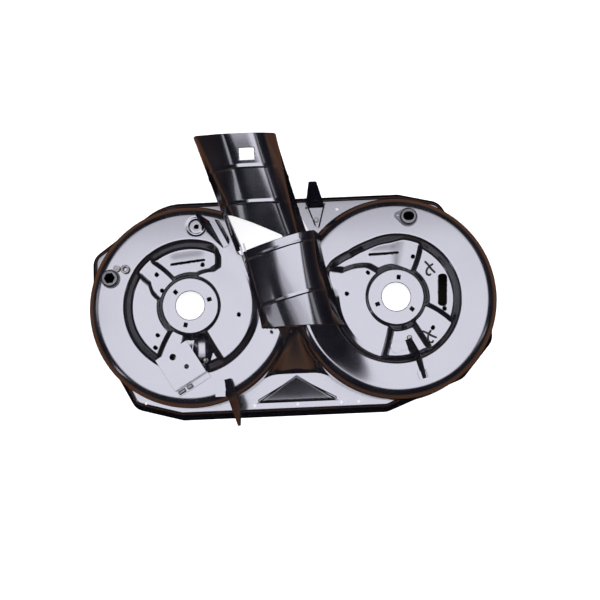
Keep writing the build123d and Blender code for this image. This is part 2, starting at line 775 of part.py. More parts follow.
def deck_form(inset):
    """The whole pressing as a solid form; two of them make the sheet."""
    with BuildPart() as form:
        add(skirt_block(inset))
        add(ring_block(LEFT_SPINDLE, inset, RING_Z))
        add(ring_block(RIGHT_SPINDLE, inset, RING_Z))
        left_pocket = pocket_tool(LEFT_SPINDLE, inset).split(ramp_plane(inset), keep=Keep.TOP)
        add(left_pocket, mode=Mode.SUBTRACT)
        add(pocket_tool(RIGHT_SPINDLE, inset), mode=Mode.SUBTRACT)
        add(tail_tool(inset), mode=Mode.SUBTRACT)
        for centre, start, stop in (
            (LEFT_SPINDLE, LEFT_TOP_RECESS_FROM, LEFT_TOP_RECESS_TO),
            (LEFT_SPINDLE, LEFT_SIDE_RECESS_FROM, LEFT_SIDE_RECESS_TO),
            (LEFT_SPINDLE, LEFT_FRONT_RECESS_FROM, LEFT_FRONT_RECESS_TO),
            (RIGHT_SPINDLE, RIGHT_TOP_RECESS_FROM, RIGHT_TOP_RECESS_TO),
            (RIGHT_SPINDLE, RIGHT_SIDE_RECESS_FROM, RIGHT_SIDE_RECESS_TO),
            (RIGHT_SPINDLE, RIGHT_FRONT_RECESS_FROM, RIGHT_FRONT_RECESS_TO),
        ):
            add(recess_tool(centre, start, stop, inset), mode=Mode.SUBTRACT)
        add(boss_groove(inset), mode=Mode.SUBTRACT)
        add(seat_block(LEFT_SPINDLE, inset))
        add(seat_block(RIGHT_SPINDLE, inset))
        add(front_wedge(inset))
        add(climbing_ring(inset))
        add(flank_cove(inset))
    return form.part


def rounded_path(corners, radii):
    """Dense points along a bent line whose inner corners are rounded."""
    path = [corners[0]]
    for before, here, after, radius in zip(corners, corners[1:], corners[2:], radii):
        inward = (here[0] - before[0], here[1] - before[1])
        outward = (after[0] - here[0], after[1] - here[1])
        first = atan2(inward[1], inward[0])
        turn = atan2(
            inward[0] * outward[1] - inward[1] * outward[0],
            inward[0] * outward[0] + inward[1] * outward[1],
        )
        reach = abs(radius * tan(turn / 2.0))
        reach = min(reach, hypot(*inward) * 0.48, hypot(*outward) * 0.48)
        radius = reach / max(abs(tan(turn / 2.0)), 1e-6)
        side = 1.0 if turn > 0 else -1.0
        start = (here[0] - cos(first) * reach, here[1] - sin(first) * reach)
        centre = (start[0] - side * radius * sin(first), start[1] + side * radius * cos(first))
        for step in range(ARC_STEPS + 1):
            heading = first + turn * step / ARC_STEPS
            path.append(
                (centre[0] + side * radius * sin(heading), centre[1] - side * radius * cos(heading))
            )
    path.append(corners[-1])
    return path


def shifted_path(path, amount):
    """The path moved sideways to its left, end points kept at their height."""
    moved = []
    for index, point in enumerate(path):
        before = path[max(index - 1, 0)]
        after = path[min(index + 1, len(path) - 1)]
        run = (after[0] - before[0], after[1] - before[1])
        length = hypot(*run)
        moved.append((point[0] - amount * run[1] / length, point[1] + amount * run[0] / length))
    moved[0] = (moved[0][0], path[0][1])
    moved[-1] = (moved[-1][0], path[-1][1])
    return moved


def even_points(path, count):
    """Points spaced evenly by length along a path."""
    lengths = [0.0]
    for one, two in zip(path, path[1:]):
        lengths.append(lengths[-1] + hypot(two[0] - one[0], two[1] - one[1]))
    spaced = []
    index = 0
    for number in range(count):
        want = lengths[-1] * number / (count - 1)
        while index < len(path) - 2 and lengths[index + 1] < want:
            index += 1
        share = (want - lengths[index]) / max(lengths[index + 1] - lengths[index], 1e-9)
        one, two = path[index], path[index + 1]
        spaced.append((one[0] + share * (two[0] - one[0]), one[1] + share * (two[1] - one[1])))
    return spaced


def arch_face(corners, radii, grow):
    """Arch section between its two feet, grown outward by grow."""
    points = even_points(shifted_path(rounded_path(corners, radii), grow), CHUTE_POINTS)
    with BuildSketch() as face:
        with BuildLine():
            Spline(*points)
            Line(points[-1], points[0])
        make_face()
    return face.sketch


def seam_corners(foot):
    """Section of the lower chute over the hump, in the seam plane."""
    return [
        (SEAM_LEFT_X - SEAM_FOOT_SPREAD, foot),
        (SEAM_LEFT_X, SEAM_LEFT_Z),
        (HUMP_LEFT_X, HUMP_TOP_Z),
        (SEAM_CROWN_X, SEAM_CROWN_Z),
        (FLANK_TOP_X, FLANK_TOP_Z),
        (SEAM_RIGHT_X, SEAM_RIGHT_Z),
        (SEAM_RIGHT_X + SEAM_FOOT_SPREAD, foot),
    ]


def body_corners(foot, span, left_run, left_z, crown_run, crown_z, right_run, right_z):
    """Section of the lower chute behind the seam."""
    return [
        (-WALL_MID_RUN, foot),
        (WALL_MID_RUN, WALL_MID_Z),
        (left_run, left_z),
        (crown_run, crown_z),
        (right_run, right_z),
        (span - WALL_MID_RUN, WALL_MID_Z),
        (span + WALL_MID_RUN, foot),
    ]


def standing_plane(x, y, turn):
    """Upright plane through a point, its X axis level and turned by turn, its Y axis up."""
    lean = radians(turn)
    return Plane((x, y, 0), x_dir=(cos(lean), sin(lean), 0), z_dir=(sin(lean), -cos(lean), 0))


def chute_form(grow, foot, front_reach):
    """Lower chute as a solid, all sections grown outward by grow."""
    seam_radii = (SEAM_ROUND, SEAM_ROUND, CROWN_ROUND, SEAM_ROUND, SEAM_ROUND)
    body_radii = (WALL_ROUND, CORNER_ROUND, CROWN_ROUND, CORNER_ROUND, WALL_ROUND)
    mid = body_corners(
        foot, MID_SPAN, MID_LEFT_RUN, MID_LEFT_Z,
        MID_CROWN_RUN, MID_CROWN_Z, MID_RIGHT_RUN, MID_RIGHT_Z,
    )
    rear = body_corners(
        foot, REAR_SPAN, REAR_LEFT_RUN, REAR_LEFT_Z,
        REAR_CROWN_RUN, REAR_CROWN_Z, REAR_RIGHT_RUN, REAR_RIGHT_Z,
    )
    with BuildPart() as form:
        with BuildSketch(standing_plane(0, SEAM_Y - front_reach, 0)):
            add(arch_face(seam_corners(foot), seam_radii, grow))
        with BuildSketch(standing_plane(*MID_LEFT, CHUTE_TURN)):
            add(arch_face(mid, body_radii, grow))
        with BuildSketch(standing_plane(*REAR_LEFT, CHUTE_TURN)):
            add(arch_face(rear, body_radii, grow))
        loft()
    return form.part


def duct_corners(left, bend_left, bend_right, right, top, foot):
    """Section of the upper chute, from its left foot over the roof to its right foot."""
    return [
        (left, foot),
        (left, top - DUCT_SIDE_DROP),
        (bend_left, top),
        (bend_right, top),
        (right, top - DUCT_SIDE_DROP),
        (right, foot),
    ]


def duct_form(grow, foot):
    """Upper chute as a solid between its front and rear sections."""
    radii = (DUCT_EDGE_RADIUS, DUCT_BEND_RADIUS, DUCT_BEND_RADIUS, DUCT_EDGE_RADIUS)
    front = duct_corners(
        DUCT_FRONT_LEFT_X, DUCT_FRONT_BEND_LEFT_X, DUCT_FRONT_BEND_RIGHT_X,
        DUCT_FRONT_RIGHT_X, DUCT_FRONT_TOP, foot,
    )
    rear = duct_corners(
        DUCT_REAR_LEFT_X, DUCT_REAR_BEND_LEFT_X, DUCT_REAR_BEND_RIGHT_X,
        DUCT_REAR_RIGHT_X, DUCT_REAR_TOP, foot,
    )
    with BuildPart() as form:
        with BuildSketch(standing_plane(0, DUCT_FRONT_Y, 0)):
            add(arch_face(front, radii, grow))
        with BuildSketch(standing_plane(0, DUCT_REAR_Y, 0)):
            add(arch_face(rear, radii, grow))
        loft()
    return form.part


def slab(part, plane, width):
    """Slice of a part between a plane and the same plane moved along its normal."""
    near = part.split(plane, keep=Keep.TOP)
    return near.split(plane.offset(width), keep=Keep.BOTTOM)


def duct_left_x(y):
    """Left wall of the upper chute at a distance to the rear."""
    share = (y - DUCT_FRONT_Y) / (DUCT_REAR_Y - DUCT_FRONT_Y)
    return DUCT_FRONT_LEFT_X + share * (DUCT_REAR_LEFT_X - DUCT_FRONT_LEFT_X)


chute_skin = chute_form(0.0, CHUTE_FOOT_Z, 0.0)
chute_hollow = chute_form(-CHUTE_SHEET, CHUTE_FOOT_Z - INNER_REACH, 0.0)
chute_ribs = chute_form(BEAD_RISE, CHUTE_FOOT_Z, 0.0).split(Plane.XY.offset(WALL_MID_Z), keep=Keep.TOP)
throat = chute_form(SIDE_GAP, -INNER_REACH - INNER_REACH, SIDE_GAP)
rear_bead_plane = standing_plane(*REAR_LEFT, CHUTE_TURN).offset(REAR_BEAD_BACK)
front_bead_plane = standing_plane(*MID_LEFT, CHUTE_TURN).offset(FRONT_BEAD_BACK)

with BuildPart() as groove:
    with BuildSketch(Plane.XY.offset(FLANGE_Z)) as triangle:
        with BuildLine():
            Polyline(
                (0, TRIANGLE_APEX_Y), (-TRIANGLE_HALF, TRIANGLE_BASE_Y + TRIANGLE_LINE),
                (-TRIANGLE_HALF, TRIANGLE_BASE_Y), (TRIANGLE_HALF, TRIANGLE_BASE_Y),
                (TRIANGLE_HALF, TRIANGLE_BASE_Y + TRIANGLE_LINE), close=True,
            )
        make_face()
    extrude(amount=-TRIANGLE_DEPTH, taper=TRIANGLE_LEAN)
    with BuildSketch(Plane.XY.offset(FLANGE_Z)):
        add(triangle.sketch)
        offset(amount=-TRIANGLE_LINE)
    extrude(amount=-TRIANGLE_DEPTH, taper=-TRIANGLE_LEAN, mode=Mode.SUBTRACT)
triangle_groove = groove.part

with BuildPart() as deck_shell:
    add(deck_form(0.0))
    add(deck_form(SHEET), mode=Mode.SUBTRACT)
    add(throat, mode=Mode.SUBTRACT)
    add(chute_form(SIDE_GAP, CHUTE_FOOT_Z, SIDE_GAP), mode=Mode.SUBTRACT)
    with BuildSketch(Plane.XY.offset(-INNER_REACH)):
        with BuildLine():
            Polyline(
                REAR_LEFT,
                (OPENING_REAR_LEFT_X, OPENING_REAR_Y),
                (OPENING_REAR_RIGHT_X, OPENING_REAR_Y),
                (OPENING_RIGHT_X, OPENING_RIGHT_Y),
                close=True,
            )
        make_face()
    extrude(amount=RING_Z + RING_Z, mode=Mode.SUBTRACT)
    add(louvre_hood(from_left(LEFT_LOUVRE_X, LEFT_LOUVRE_Y), LEFT_LOUVRE_TURN))
    add(louvre_hood(from_right(RIGHT_LOUVRE_X, RIGHT_LOUVRE_Y), RIGHT_LOUVRE_TURN))
    # Louvre slots and the long slot
    with BuildSketch(Plane.XY.offset(FLANGE_Z)):
        with Locations(Location(from_left(LEFT_LOUVRE_X, LEFT_LOUVRE_Y), LEFT_LOUVRE_TURN)):
            Rectangle(LOUVRE_LENGTH, LOUVRE_SLOT)
        with Locations(Location(from_right(RIGHT_LOUVRE_X, RIGHT_LOUVRE_Y), RIGHT_LOUVRE_TURN)):
            Rectangle(LOUVRE_LENGTH, LOUVRE_SLOT)
        with Locations(Location(from_right(SIDE_SLOT_X, SIDE_SLOT_Y), SIDE_SLOT_TURN)):
            RectangleRounded(SIDE_SLOT_WIDTH, SIDE_SLOT_LENGTH, SIDE_SLOT_WIDTH * SIDE_SLOT_ROUND_SHARE)
        # Spindle bores and the square bolt holes around them
        with Locations(LEFT_SPINDLE, RIGHT_SPINDLE):
            Circle(SPINDLE_BORE_RADIUS)
        for centre, turn in ((LEFT_SPINDLE, LEFT_BOLT_TURN), (RIGHT_SPINDLE, RIGHT_BOLT_TURN)):
            for third in range(3):
                angle = turn + 120.0 * third
                with Locations(Location(polar(centre, BOLT_CIRCLE_RADIUS, angle), angle)):
                    Rectangle(SQUARE_HOLE, SQUARE_HOLE)
        with Locations(
            from_left(*LEFT_LOUVRE_HOLE), from_left(*LEFT_SPOKE_OUTER_HOLE),
            from_left(*LEFT_SPOKE_INNER_HOLE), from_left(*LEFT_SIDE_UPPER_HOLE),
            from_left(*LEFT_SIDE_LOWER_HOLE), from_left(*LEFT_LAND_HOLE),
            from_right(*RIGHT_LAND_REAR_HOLE), from_right(*RIGHT_LAND_FRONT_HOLE),
            from_right(*RIGHT_SIDE_HOLE), from_right(*RIGHT_PANEL_HOLE), from_right(*RIGHT_SPOKE_HOLE),
        ):
            Circle(PIN_HOLE_RADIUS)
        with Locations(Location(from_left(*REAR_PIN_SLOT), REAR_PIN_SLOT_TURN)):
            SlotOverall(REAR_PIN_SLOT_LENGTH, PIN_SLOT_WIDTH)
        with Locations(Location(from_left(*FRONT_PIN_SLOT), FRONT_PIN_SLOT_TURN)):
            SlotOverall(FRONT_PIN_SLOT_LENGTH, PIN_SLOT_WIDTH)
        with Locations(from_left(*LEFT_PORT), from_right(*RIGHT_PORT)):
            Circle(PORT_HOLE_RADIUS)
        with Locations(from_left(DIMPLE_X, DIMPLE_Y)):
            Circle(DIMPLE_HOLE_RADIUS)
    extrude(amount=RING_Z, mode=Mode.SUBTRACT)
    # Flange holes
    with BuildSketch(Plane.XY.offset(FLANGE_Z - INNER_REACH)):
        with Locations(
            (FLANGE_HOLE_LEFT_X, FLANGE_HOLE_Y), (0, FLANGE_HOLE_Y),
            (FLANGE_HOLE_RIGHT_X, FLANGE_HOLE_Y), (FLANGE_HOLE_FAR_X, FLANGE_HOLE_Y),
            from_left(CORNER_HOLE_X, CORNER_HOLE_Y), from_right(REAR_HOLE_X, REAR_HOLE_Y),
        ):
            Circle(FLANGE_HOLE_RADIUS)
    extrude(amount=INNER_REACH + INNER_REACH, mode=Mode.SUBTRACT)
    # Stiffening triangle pressed into the front flange, a groove with sloping sides
    add(triangle_groove, mode=Mode.SUBTRACT)

with BuildPart() as lower_chute:
    add(chute_skin)
    add(slab(chute_ribs, rear_bead_plane, BEAD_WIDTH))
    add(slab(chute_ribs, front_bead_plane, BEAD_WIDTH))
    add(chute_hollow, mode=Mode.SUBTRACT)

with BuildPart() as upper_chute:
    foot = RING_Z + SEAT_GAP
    add(duct_form(0.0, foot))
    ribs = duct_form(BEAD_RISE, foot)
    add(slab(ribs, standing_plane(0, DUCT_BEAD_REAR_Y, 0), BEAD_WIDTH))
    add(slab(ribs, standing_plane(0, DUCT_BEAD_FRONT_Y, 0), BEAD_WIDTH))
    add(duct_form(-CHUTE_SHEET, foot - INNER_REACH), mode=Mode.SUBTRACT)
    # Slanting mouth in the roof, the left wall left standing
    with BuildSketch(Plane.XY.offset(foot)):
        with BuildLine():
            Polyline(
                (duct_left_x(DUCT_MOUTH_LEFT_Y) + DUCT_WALL_KEEP, DUCT_MOUTH_LEFT_Y),
                (DUCT_MOUTH_RIGHT_X, DUCT_MOUTH_RIGHT_Y),
                (DUCT_MOUTH_FRONT_X, DUCT_FRONT_Y - INNER_REACH),
                (DUCT_FRONT_LEFT_X + DUCT_WALL_KEEP, DUCT_FRONT_Y - INNER_REACH),
                close=True,
            )
        make_face()
    extrude(amount=DUCT_REAR_TOP, mode=Mode.SUBTRACT)
    # Lower edge rising to the rear
    with BuildSketch(Plane.YZ.offset(DUCT_REAR_LEFT_X - INNER_REACH)):
        with BuildLine():
            Polyline(
                (DUCT_LIFT_Y, foot - INNER_REACH), (DUCT_REAR_Y + INNER_REACH, foot - INNER_REACH),
                (DUCT_REAR_Y + INNER_REACH, DUCT_REAR_FOOT), (DUCT_LIFT_Y, foot), close=True,
            )
        make_face()
    extrude(amount=DUCT_FRONT_RIGHT_X - DUCT_REAR_LEFT_X + INNER_REACH, mode=Mode.SUBTRACT)
    with BuildSketch(Plane.XY.offset(DUCT_REAR_FOOT)):
        with Locations((DUCT_HOLE_X, DUCT_HOLE_Y)):
            Rectangle(DUCT_HOLE_WIDTH, DUCT_HOLE_LENGTH)
    extrude(amount=DUCT_REAR_TOP, mode=Mode.SUBTRACT)
    # Rear edge cut square to the rising roof
    cut = Plane(
        (0, DUCT_REAR_Y, DUCT_REAR_TOP - DUCT_SIDE_DROP),
        x_dir=(1, 0, 0),
        z_dir=(0, cos(radians(DUCT_CUT_LEAN)), sin(radians(DUCT_CUT_LEAN))),
    )
    split(bisect_by=cut, keep=Keep.BOTTOM)

FLANGE_TOP = FLANGE_Z + SEAT_GAP
RING_TOP = RING_Z + SEAT_GAP
FLOOR_TOP = FLOOR_Z + SEAT_GAP
RECESS_TOP = RECESS_Z + SEAT_GAP

hanger_lean = radians(HANGER_LEAN)
with BuildPart() as rear_right_hanger:
    with BuildSketch(Plane.XY.offset(FLANGE_TOP)):
        with BuildLine():
            Polyline(
                from_right(*HANGER_FRONT_LEFT), from_right(*HANGER_FRONT_RIGHT),
                from_right(*HANGER_REAR_RIGHT), from_right(*HANGER_REAR_LEFT), close=True,
            )
        make_face()
    extrude(amount=BRACKET_SHEET)
    # Leaning upright
    with BuildSketch(
        Plane(
            (*from_right(HANGER_X, HANGER_Y), FLANGE_TOP),
            x_dir=(1, 0, 0),
            z_dir=(0, -cos(hanger_lean), sin(hanger_lean)),
        )
    ) as upright:
        with BuildLine():
            Polyline(
                (-HANGER_FOOT_WIDTH / 2.0, 0),
                (HANGER_FOOT_WIDTH / 2.0, 0),
                (HANGER_HEAD_SHIFT + HANGER_HEAD_WIDTH / 2.0, HANGER_HEIGHT),
                (HANGER_HEAD_SHIFT - HANGER_HEAD_WIDTH / 2.0, HANGER_HEIGHT),
                close=True,
            )
        make_face()
        fillet(upright.vertices().group_by(Axis.Y)[-1], BRACKET_SHEET)
    extrude(amount=BRACKET_SHEET)
    # Gussets along both edges of the foot
    for rear, front, side in (
        (HANGER_REAR_LEFT, HANGER_FRONT_LEFT, -1.0), (HANGER_REAR_RIGHT, HANGER_FRONT_RIGHT, 1.0)
    ):
        edge = (front[0] - rear[0], front[1] - rear[1])
        wall = standing_plane(*from_right(*rear), degrees(atan2(edge[1], edge[0])))
        with BuildSketch(wall):
            with BuildLine():
                Polyline(
                    (0, FLANGE_TOP), (hypot(*edge), FLANGE_TOP),
                    (hypot(*edge), FLANGE_TOP + BRACKET_SHEET + GUSSET_NOSE),
                    (0, FLANGE_TOP + GUSSET_HEIGHT), close=True,
                )
            make_face()
        extrude(amount=BRACKET_SHEET * side)

with BuildPart() as rear_right_hanger_bolt:
    with BuildSketch(Plane.XY.offset(FLANGE_TOP + BRACKET_SHEET + SEAT_GAP)):
        with Locations(from_right(*HANGER_BOLT)):
            RegularPolygon(BOLT_HEAD_RADIUS, 6)
    extrude(amount=BOLT_HEAD_HEIGHT)

channel_run = (CHANNEL_REAR[0] - CHANNEL_FRONT[0], CHANNEL_REAR[1] - CHANNEL_FRONT[1])
channel_length = hypot(*channel_run)
channel_start = from_left(*CHANNEL_FRONT)
channel_along = Vector(channel_run[0] / channel_length, channel_run[1] / channel_length, 0)
channel_left = Vector(-channel_along.Y, channel_along.X, 0)
with BuildPart() as rear_left_hanger:
    with BuildSketch(Plane((*channel_start, RING_TOP), x_dir=channel_along, z_dir=(0, 0, 1))):
        Rectangle(channel_length, CHANNEL_WIDTH, align=(Align.MIN, Align.CENTER))
    extrude(amount=BRACKET_SHEET)
    # Tall wall leaning out to the left, drawn out to a horn at the rear
    left_lean = radians(CHANNEL_LEFT_LEAN)
    left_up = channel_left * sin(left_lean) + Vector(0, 0, cos(left_lean))
    left_foot = Vector(*channel_start, RING_TOP) + channel_left * (CHANNEL_WIDTH / 2.0 - BRACKET_SHEET)
    with BuildSketch(Plane(left_foot, x_dir=channel_along, z_dir=channel_along.cross(left_up))):
        with BuildLine():
            Polyline(
                (0, 0), (channel_length, 0),
                (channel_length + CHANNEL_TAPER, CHANNEL_TALL_WALL),
                (channel_length, CHANNEL_TALL_WALL),
                (0, BRACKET_SHEET), close=True,
            )
        make_face()
    extrude(amount=-BRACKET_SHEET)
    # Low wall leaning out to the right
    right_lean = radians(CHANNEL_RIGHT_LEAN)
    right_up = Vector(0, 0, cos(right_lean)) - channel_left * sin(right_lean)
    right_foot = Vector(*channel_start, RING_TOP) - channel_left * (CHANNEL_WIDTH / 2.0 - BRACKET_SHEET)
    with BuildSketch(Plane(right_foot, x_dir=channel_along, z_dir=channel_along.cross(right_up))):
        with BuildLine():
            Polyline(
                (0, 0), (channel_length, 0),
                (channel_length - CHANNEL_TAPER / 2.0, CHANNEL_LOW_WALL),
                (CHANNEL_TAPER / 2.0, CHANNEL_LOW_WALL), close=True,
            )
        make_face()
    extrude(amount=BRACKET_SHEET)
    split(bisect_by=Plane.XY.offset(RING_TOP), keep=Keep.TOP)

horn_lean = radians(HORN_LEAN)
horn_turn = radians(HORN_TURN)
horn_along = Vector(cos(horn_turn), sin(horn_turn), 0)
horn_across = Vector(-sin(horn_turn) * sin(horn_lean), cos(horn_turn) * sin(horn_lean), cos(horn_lean))
with BuildPart() as front_left_hanger:
    with BuildSketch(Plane.XY.offset(RING_TOP)):
        with Locations(from_left(TAB_X, TAB_Y)):
            Rectangle(TAB_WIDTH, TAB_LENGTH)
    extrude(amount=BRACKET_SHEET)
    horn_root = (*from_left(TAB_X + TAB_WIDTH / 2.0, TAB_Y + TAB_LENGTH / 2.0), RING_TOP)
    with BuildSketch(Plane(horn_root, x_dir=horn_along, z_dir=horn_along.cross(horn_across))) as horn:
        with BuildLine():
            Polyline(
                (0, 0), (TAB_LENGTH, 0), (HORN_LENGTH, HORN_TIP_LOW), (HORN_LENGTH, HORN_TIP_HIGH),
                (HORN_BELLY_RUN, HORN_BELLY), (0, HORN_ROOT_WIDTH), close=True,
            )
        make_face()
        fillet(horn.vertices().group_by(Axis.X)[-1], BRACKET_SHEET)
    extrude(amount=BRACKET_SHEET)
    split(bisect_by=Plane.XY.offset(RING_TOP), keep=Keep.TOP)

box_plane = Plane(
    (*from_left(BOX_X, BOX_Y), 0), x_dir=(cos(radians(BOX_TURN)), sin(radians(BOX_TURN)), 0), z_dir=(0, 0, 1)
)
with BuildPart() as box_bracket:
    with BuildSketch(box_plane.offset(BOX_TOP_Z)):
        Rectangle(BOX_SIDE, BOX_SIDE)
    extrude(amount=-BRACKET_SHEET)
    # Front wall and its foot on the ring
    with BuildSketch(box_plane.offset(RING_TOP)):
        with Locations((0, -BOX_SIDE / 2.0)):
            Rectangle(BOX_SIDE, BRACKET_SHEET, align=(Align.CENTER, Align.MIN))
    extrude(amount=BOX_TOP_Z - RING_TOP)
    with BuildSketch(box_plane.offset(RING_TOP)):
        with Locations((0, -BOX_SIDE / 2.0 + BRACKET_SHEET)):
            Rectangle(BOX_SIDE, BOX_FOOT_REACH + BRACKET_SHEET, align=(Align.CENTER, Align.MAX))
    extrude(amount=BRACKET_SHEET)
    # Rear leg on the pocket floor
    with BuildSketch(box_plane.offset(FLOOR_TOP)):
        with Locations((BOX_LEG_FROM, BOX_SIDE / 2.0)):
            Rectangle(BOX_LEG_WIDTH, BRACKET_SHEET, align=(Align.MIN, Align.MAX))
    extrude(amount=BOX_TOP_Z - FLOOR_TOP)
    with BuildSketch(Plane.XY.offset(BOX_TOP_Z + BRACKET_SHEET)):
        with Locations(from_left(*BOX_BIG_HOLE)):
            Circle(BOX_BIG_HOLE_RADIUS)
        with Locations(from_left(*BOX_SMALL_HOLE)):
            Circle(BOX_SMALL_HOLE_RADIUS)
    extrude(amount=-BRACKET_SHEET * 3.0, mode=Mode.SUBTRACT)

foot_centre = -BOX_SIDE / 2.0 - BOX_FOOT_REACH / 2.0
with BuildPart() as box_latch:
    with BuildSketch(box_plane.offset(RING_TOP + BRACKET_SHEET + SEAT_GAP)) as latch_face:
        with Locations((LATCH_ALONG, foot_centre)):
            Rectangle(LATCH_LENGTH, LATCH_WIDTH)
    extrude(amount=LATCH_HEIGHT)
    fillet(box_latch.edges().group_by(Axis.Z)[-1], LATCH_WIDTH / 5.0)

with BuildPart() as box_clip:
    with BuildSketch(box_plane.offset(RING_TOP + BRACKET_SHEET + SEAT_GAP)):
        with Locations((CLIP_ALONG, foot_centre)):
            Rectangle(CLIP_LENGTH, LATCH_WIDTH)
    extrude(amount=CLIP_HEIGHT)
    chamfer(box_clip.edges().group_by(Axis.Z)[-1], LATCH_WIDTH / 6.0)

with BuildPart() as box_bolt:
    with BuildSketch(Plane.XY.offset(RECESS_TOP)):
        with Locations(from_left(*BOX_BOLT)):
            RegularPolygon(BOX_BOLT_RADIUS, 6)
    extrude(amount=BOLT_HEAD_HEIGHT)
    with BuildSketch(Plane.XY.offset(RECESS_TOP)):
        with Locations(from_left(*BOX_BOLT)):
            Circle(BOX_BOLT_RADIUS / 2.0)
    extrude(amount=BOX_BOLT_HEIGHT)

keeper_start = from_right(*KEEPER_REAR)
keeper_turn = radians(KEEPER_TURN)
keeper_along = Vector(cos(keeper_turn), sin(keeper_turn), 0)
keeper_floor = Plane((*keeper_start, 0), x_dir=keeper_along, z_dir=(0, 0, 1))
keeper_lean = radians(KEEPER_LEAN)
keeper_up = Vector(
    -sin(keeper_turn) * sin(keeper_lean), cos(keeper_turn) * sin(keeper_lean), cos(keeper_lean)
)
keeper_foot = Vector(*keeper_start, RECESS_TOP)
with BuildPart() as belt_keeper:
    # Arm, leaning to the right, its lower edge clear of the pocket wall
    with BuildSketch(Plane(keeper_foot, x_dir=keeper_along, z_dir=keeper_along.cross(keeper_up))):
        with BuildLine():
            Polyline(
                (0, KEEPER_CLEAR), (KEEPER_STEP_FROM, KEEPER_CLEAR),
                (KEEPER_STEP_TO, RING_Z - RECESS_Z + KEEPER_CLEAR),
                (KEEPER_LENGTH, RING_Z - RECESS_Z + KEEPER_CLEAR),
                (KEEPER_LENGTH, KEEPER_FRONT_Z - RECESS_Z),
                (KEEPER_STEP_TO, KEEPER_CREST - RECESS_Z), (0, KEEPER_REAR_Z - RECESS_Z), close=True,
            )
        make_face()
    extrude(amount=-BRACKET_SHEET)
    # Front foot with its turned-up lip
    with BuildSketch(keeper_floor.offset(RING_TOP)):
        with Locations((KEEPER_LENGTH, 0)):
            Rectangle(KEEPER_TAB_WIDTH, KEEPER_TAB_LENGTH, align=(Align.MAX, Align.MIN))
    extrude(amount=BRACKET_SHEET)
    with BuildSketch(keeper_floor.offset(RING_TOP)):
        with Locations((KEEPER_LENGTH, KEEPER_TAB_LENGTH)):
            Rectangle(KEEPER_TAB_WIDTH, BRACKET_SHEET, align=(Align.MAX, Align.MAX))
    extrude(amount=BRACKET_SHEET + KEEPER_LIP)
    # Round base in the recess, joined to the arm
    with BuildSketch(Plane.XY.offset(RECESS_TOP)):
        with Locations(from_right(*KEEPER_DISC)):
            Circle(KEEPER_DISC_RADIUS)
    extrude(amount=BRACKET_SHEET)
    with BuildSketch(keeper_floor.offset(RECESS_TOP)):
        with Locations((0, BRACKET_SHEET)):
            Rectangle(KEEPER_STEP_FROM, KEEPER_DISC_RADIUS + BRACKET_SHEET, align=(Align.MIN, Align.MAX))
    extrude(amount=BRACKET_SHEET)

with BuildPart() as belt_keeper_bolt:
    with BuildSketch(Plane.XY.offset(RECESS_TOP)):
        with Locations(from_right(*KEEPER_BOLT)):
            Circle(BOLT_HEAD_RADIUS)
    extrude(amount=BOLT_HEAD_HEIGHT)
    fillet(belt_keeper_bolt.edges().group_by(Axis.Z)[-1], BOLT_HEAD_HEIGHT / 2.5)

left_port_plane = Plane((*from_left(*LEFT_PORT), RING_TOP)).rotated((0, 0, LEFT_PORT_TURN))
with BuildPart() as left_port:
    with BuildSketch(left_port_plane):
        Circle(PORT_FLANGE_RADIUS)
    extrude(amount=PORT_FLANGE)
    with BuildSketch(left_port_plane):
        Circle(PORT_BARREL_RADIUS)
    extrude(amount=PORT_HEIGHT)
    fillet(left_port.edges().group_by(Axis.Z)[-1], PORT_FLANGE)
    with BuildSketch(left_port_plane):
        RegularPolygon(PORT_HOLE_RADIUS, 6)
    extrude(amount=PORT_HEIGHT, mode=Mode.SUBTRACT)

stud_spot = from_left(*STUD)
strap_spot = from_left(*STRAP_NEAR)
strap_reach = STUD_RADIUS + SIDE_GAP
strap_angle = atan2(strap_spot[1] - stud_spot[1], strap_spot[0] - stud_spot[0])
strap_end = (
    stud_spot[0] + (strap_reach + STRAP_SHEET) * cos(strap_angle),
    stud_spot[1] + (strap_reach + STRAP_SHEET) * sin(strap_angle),
)
with BuildPart() as left_port_strap:
    with BuildSketch(Plane.XY.offset(RING_TOP + PORT_FLANGE + SEAT_GAP)):
        with Locations(strap_spot):
            Circle(STRAP_RADIUS)
        with Locations(
            Location(
                ((strap_spot[0] + strap_end[0]) / 2.0, (strap_spot[1] + strap_end[1]) / 2.0),
                degrees(strap_angle),
            )
        ):
            Rectangle(hypot(strap_spot[0] - strap_end[0], strap_spot[1] - strap_end[1]), STRAP_RADIUS)
    extrude(amount=STRAP_SHEET)

with BuildPart() as left_port_stud:
    with BuildSketch(Plane.XY.offset(RING_TOP)):
        with Locations(stud_spot):
            Circle(STUD_RADIUS)
            Circle(STUD_BORE_RADIUS, mode=Mode.SUBTRACT)
    extrude(amount=STUD_HEIGHT)
    fillet(left_port_stud.edges().group_by(Axis.Z)[-1], PORT_FLANGE / 2.0)

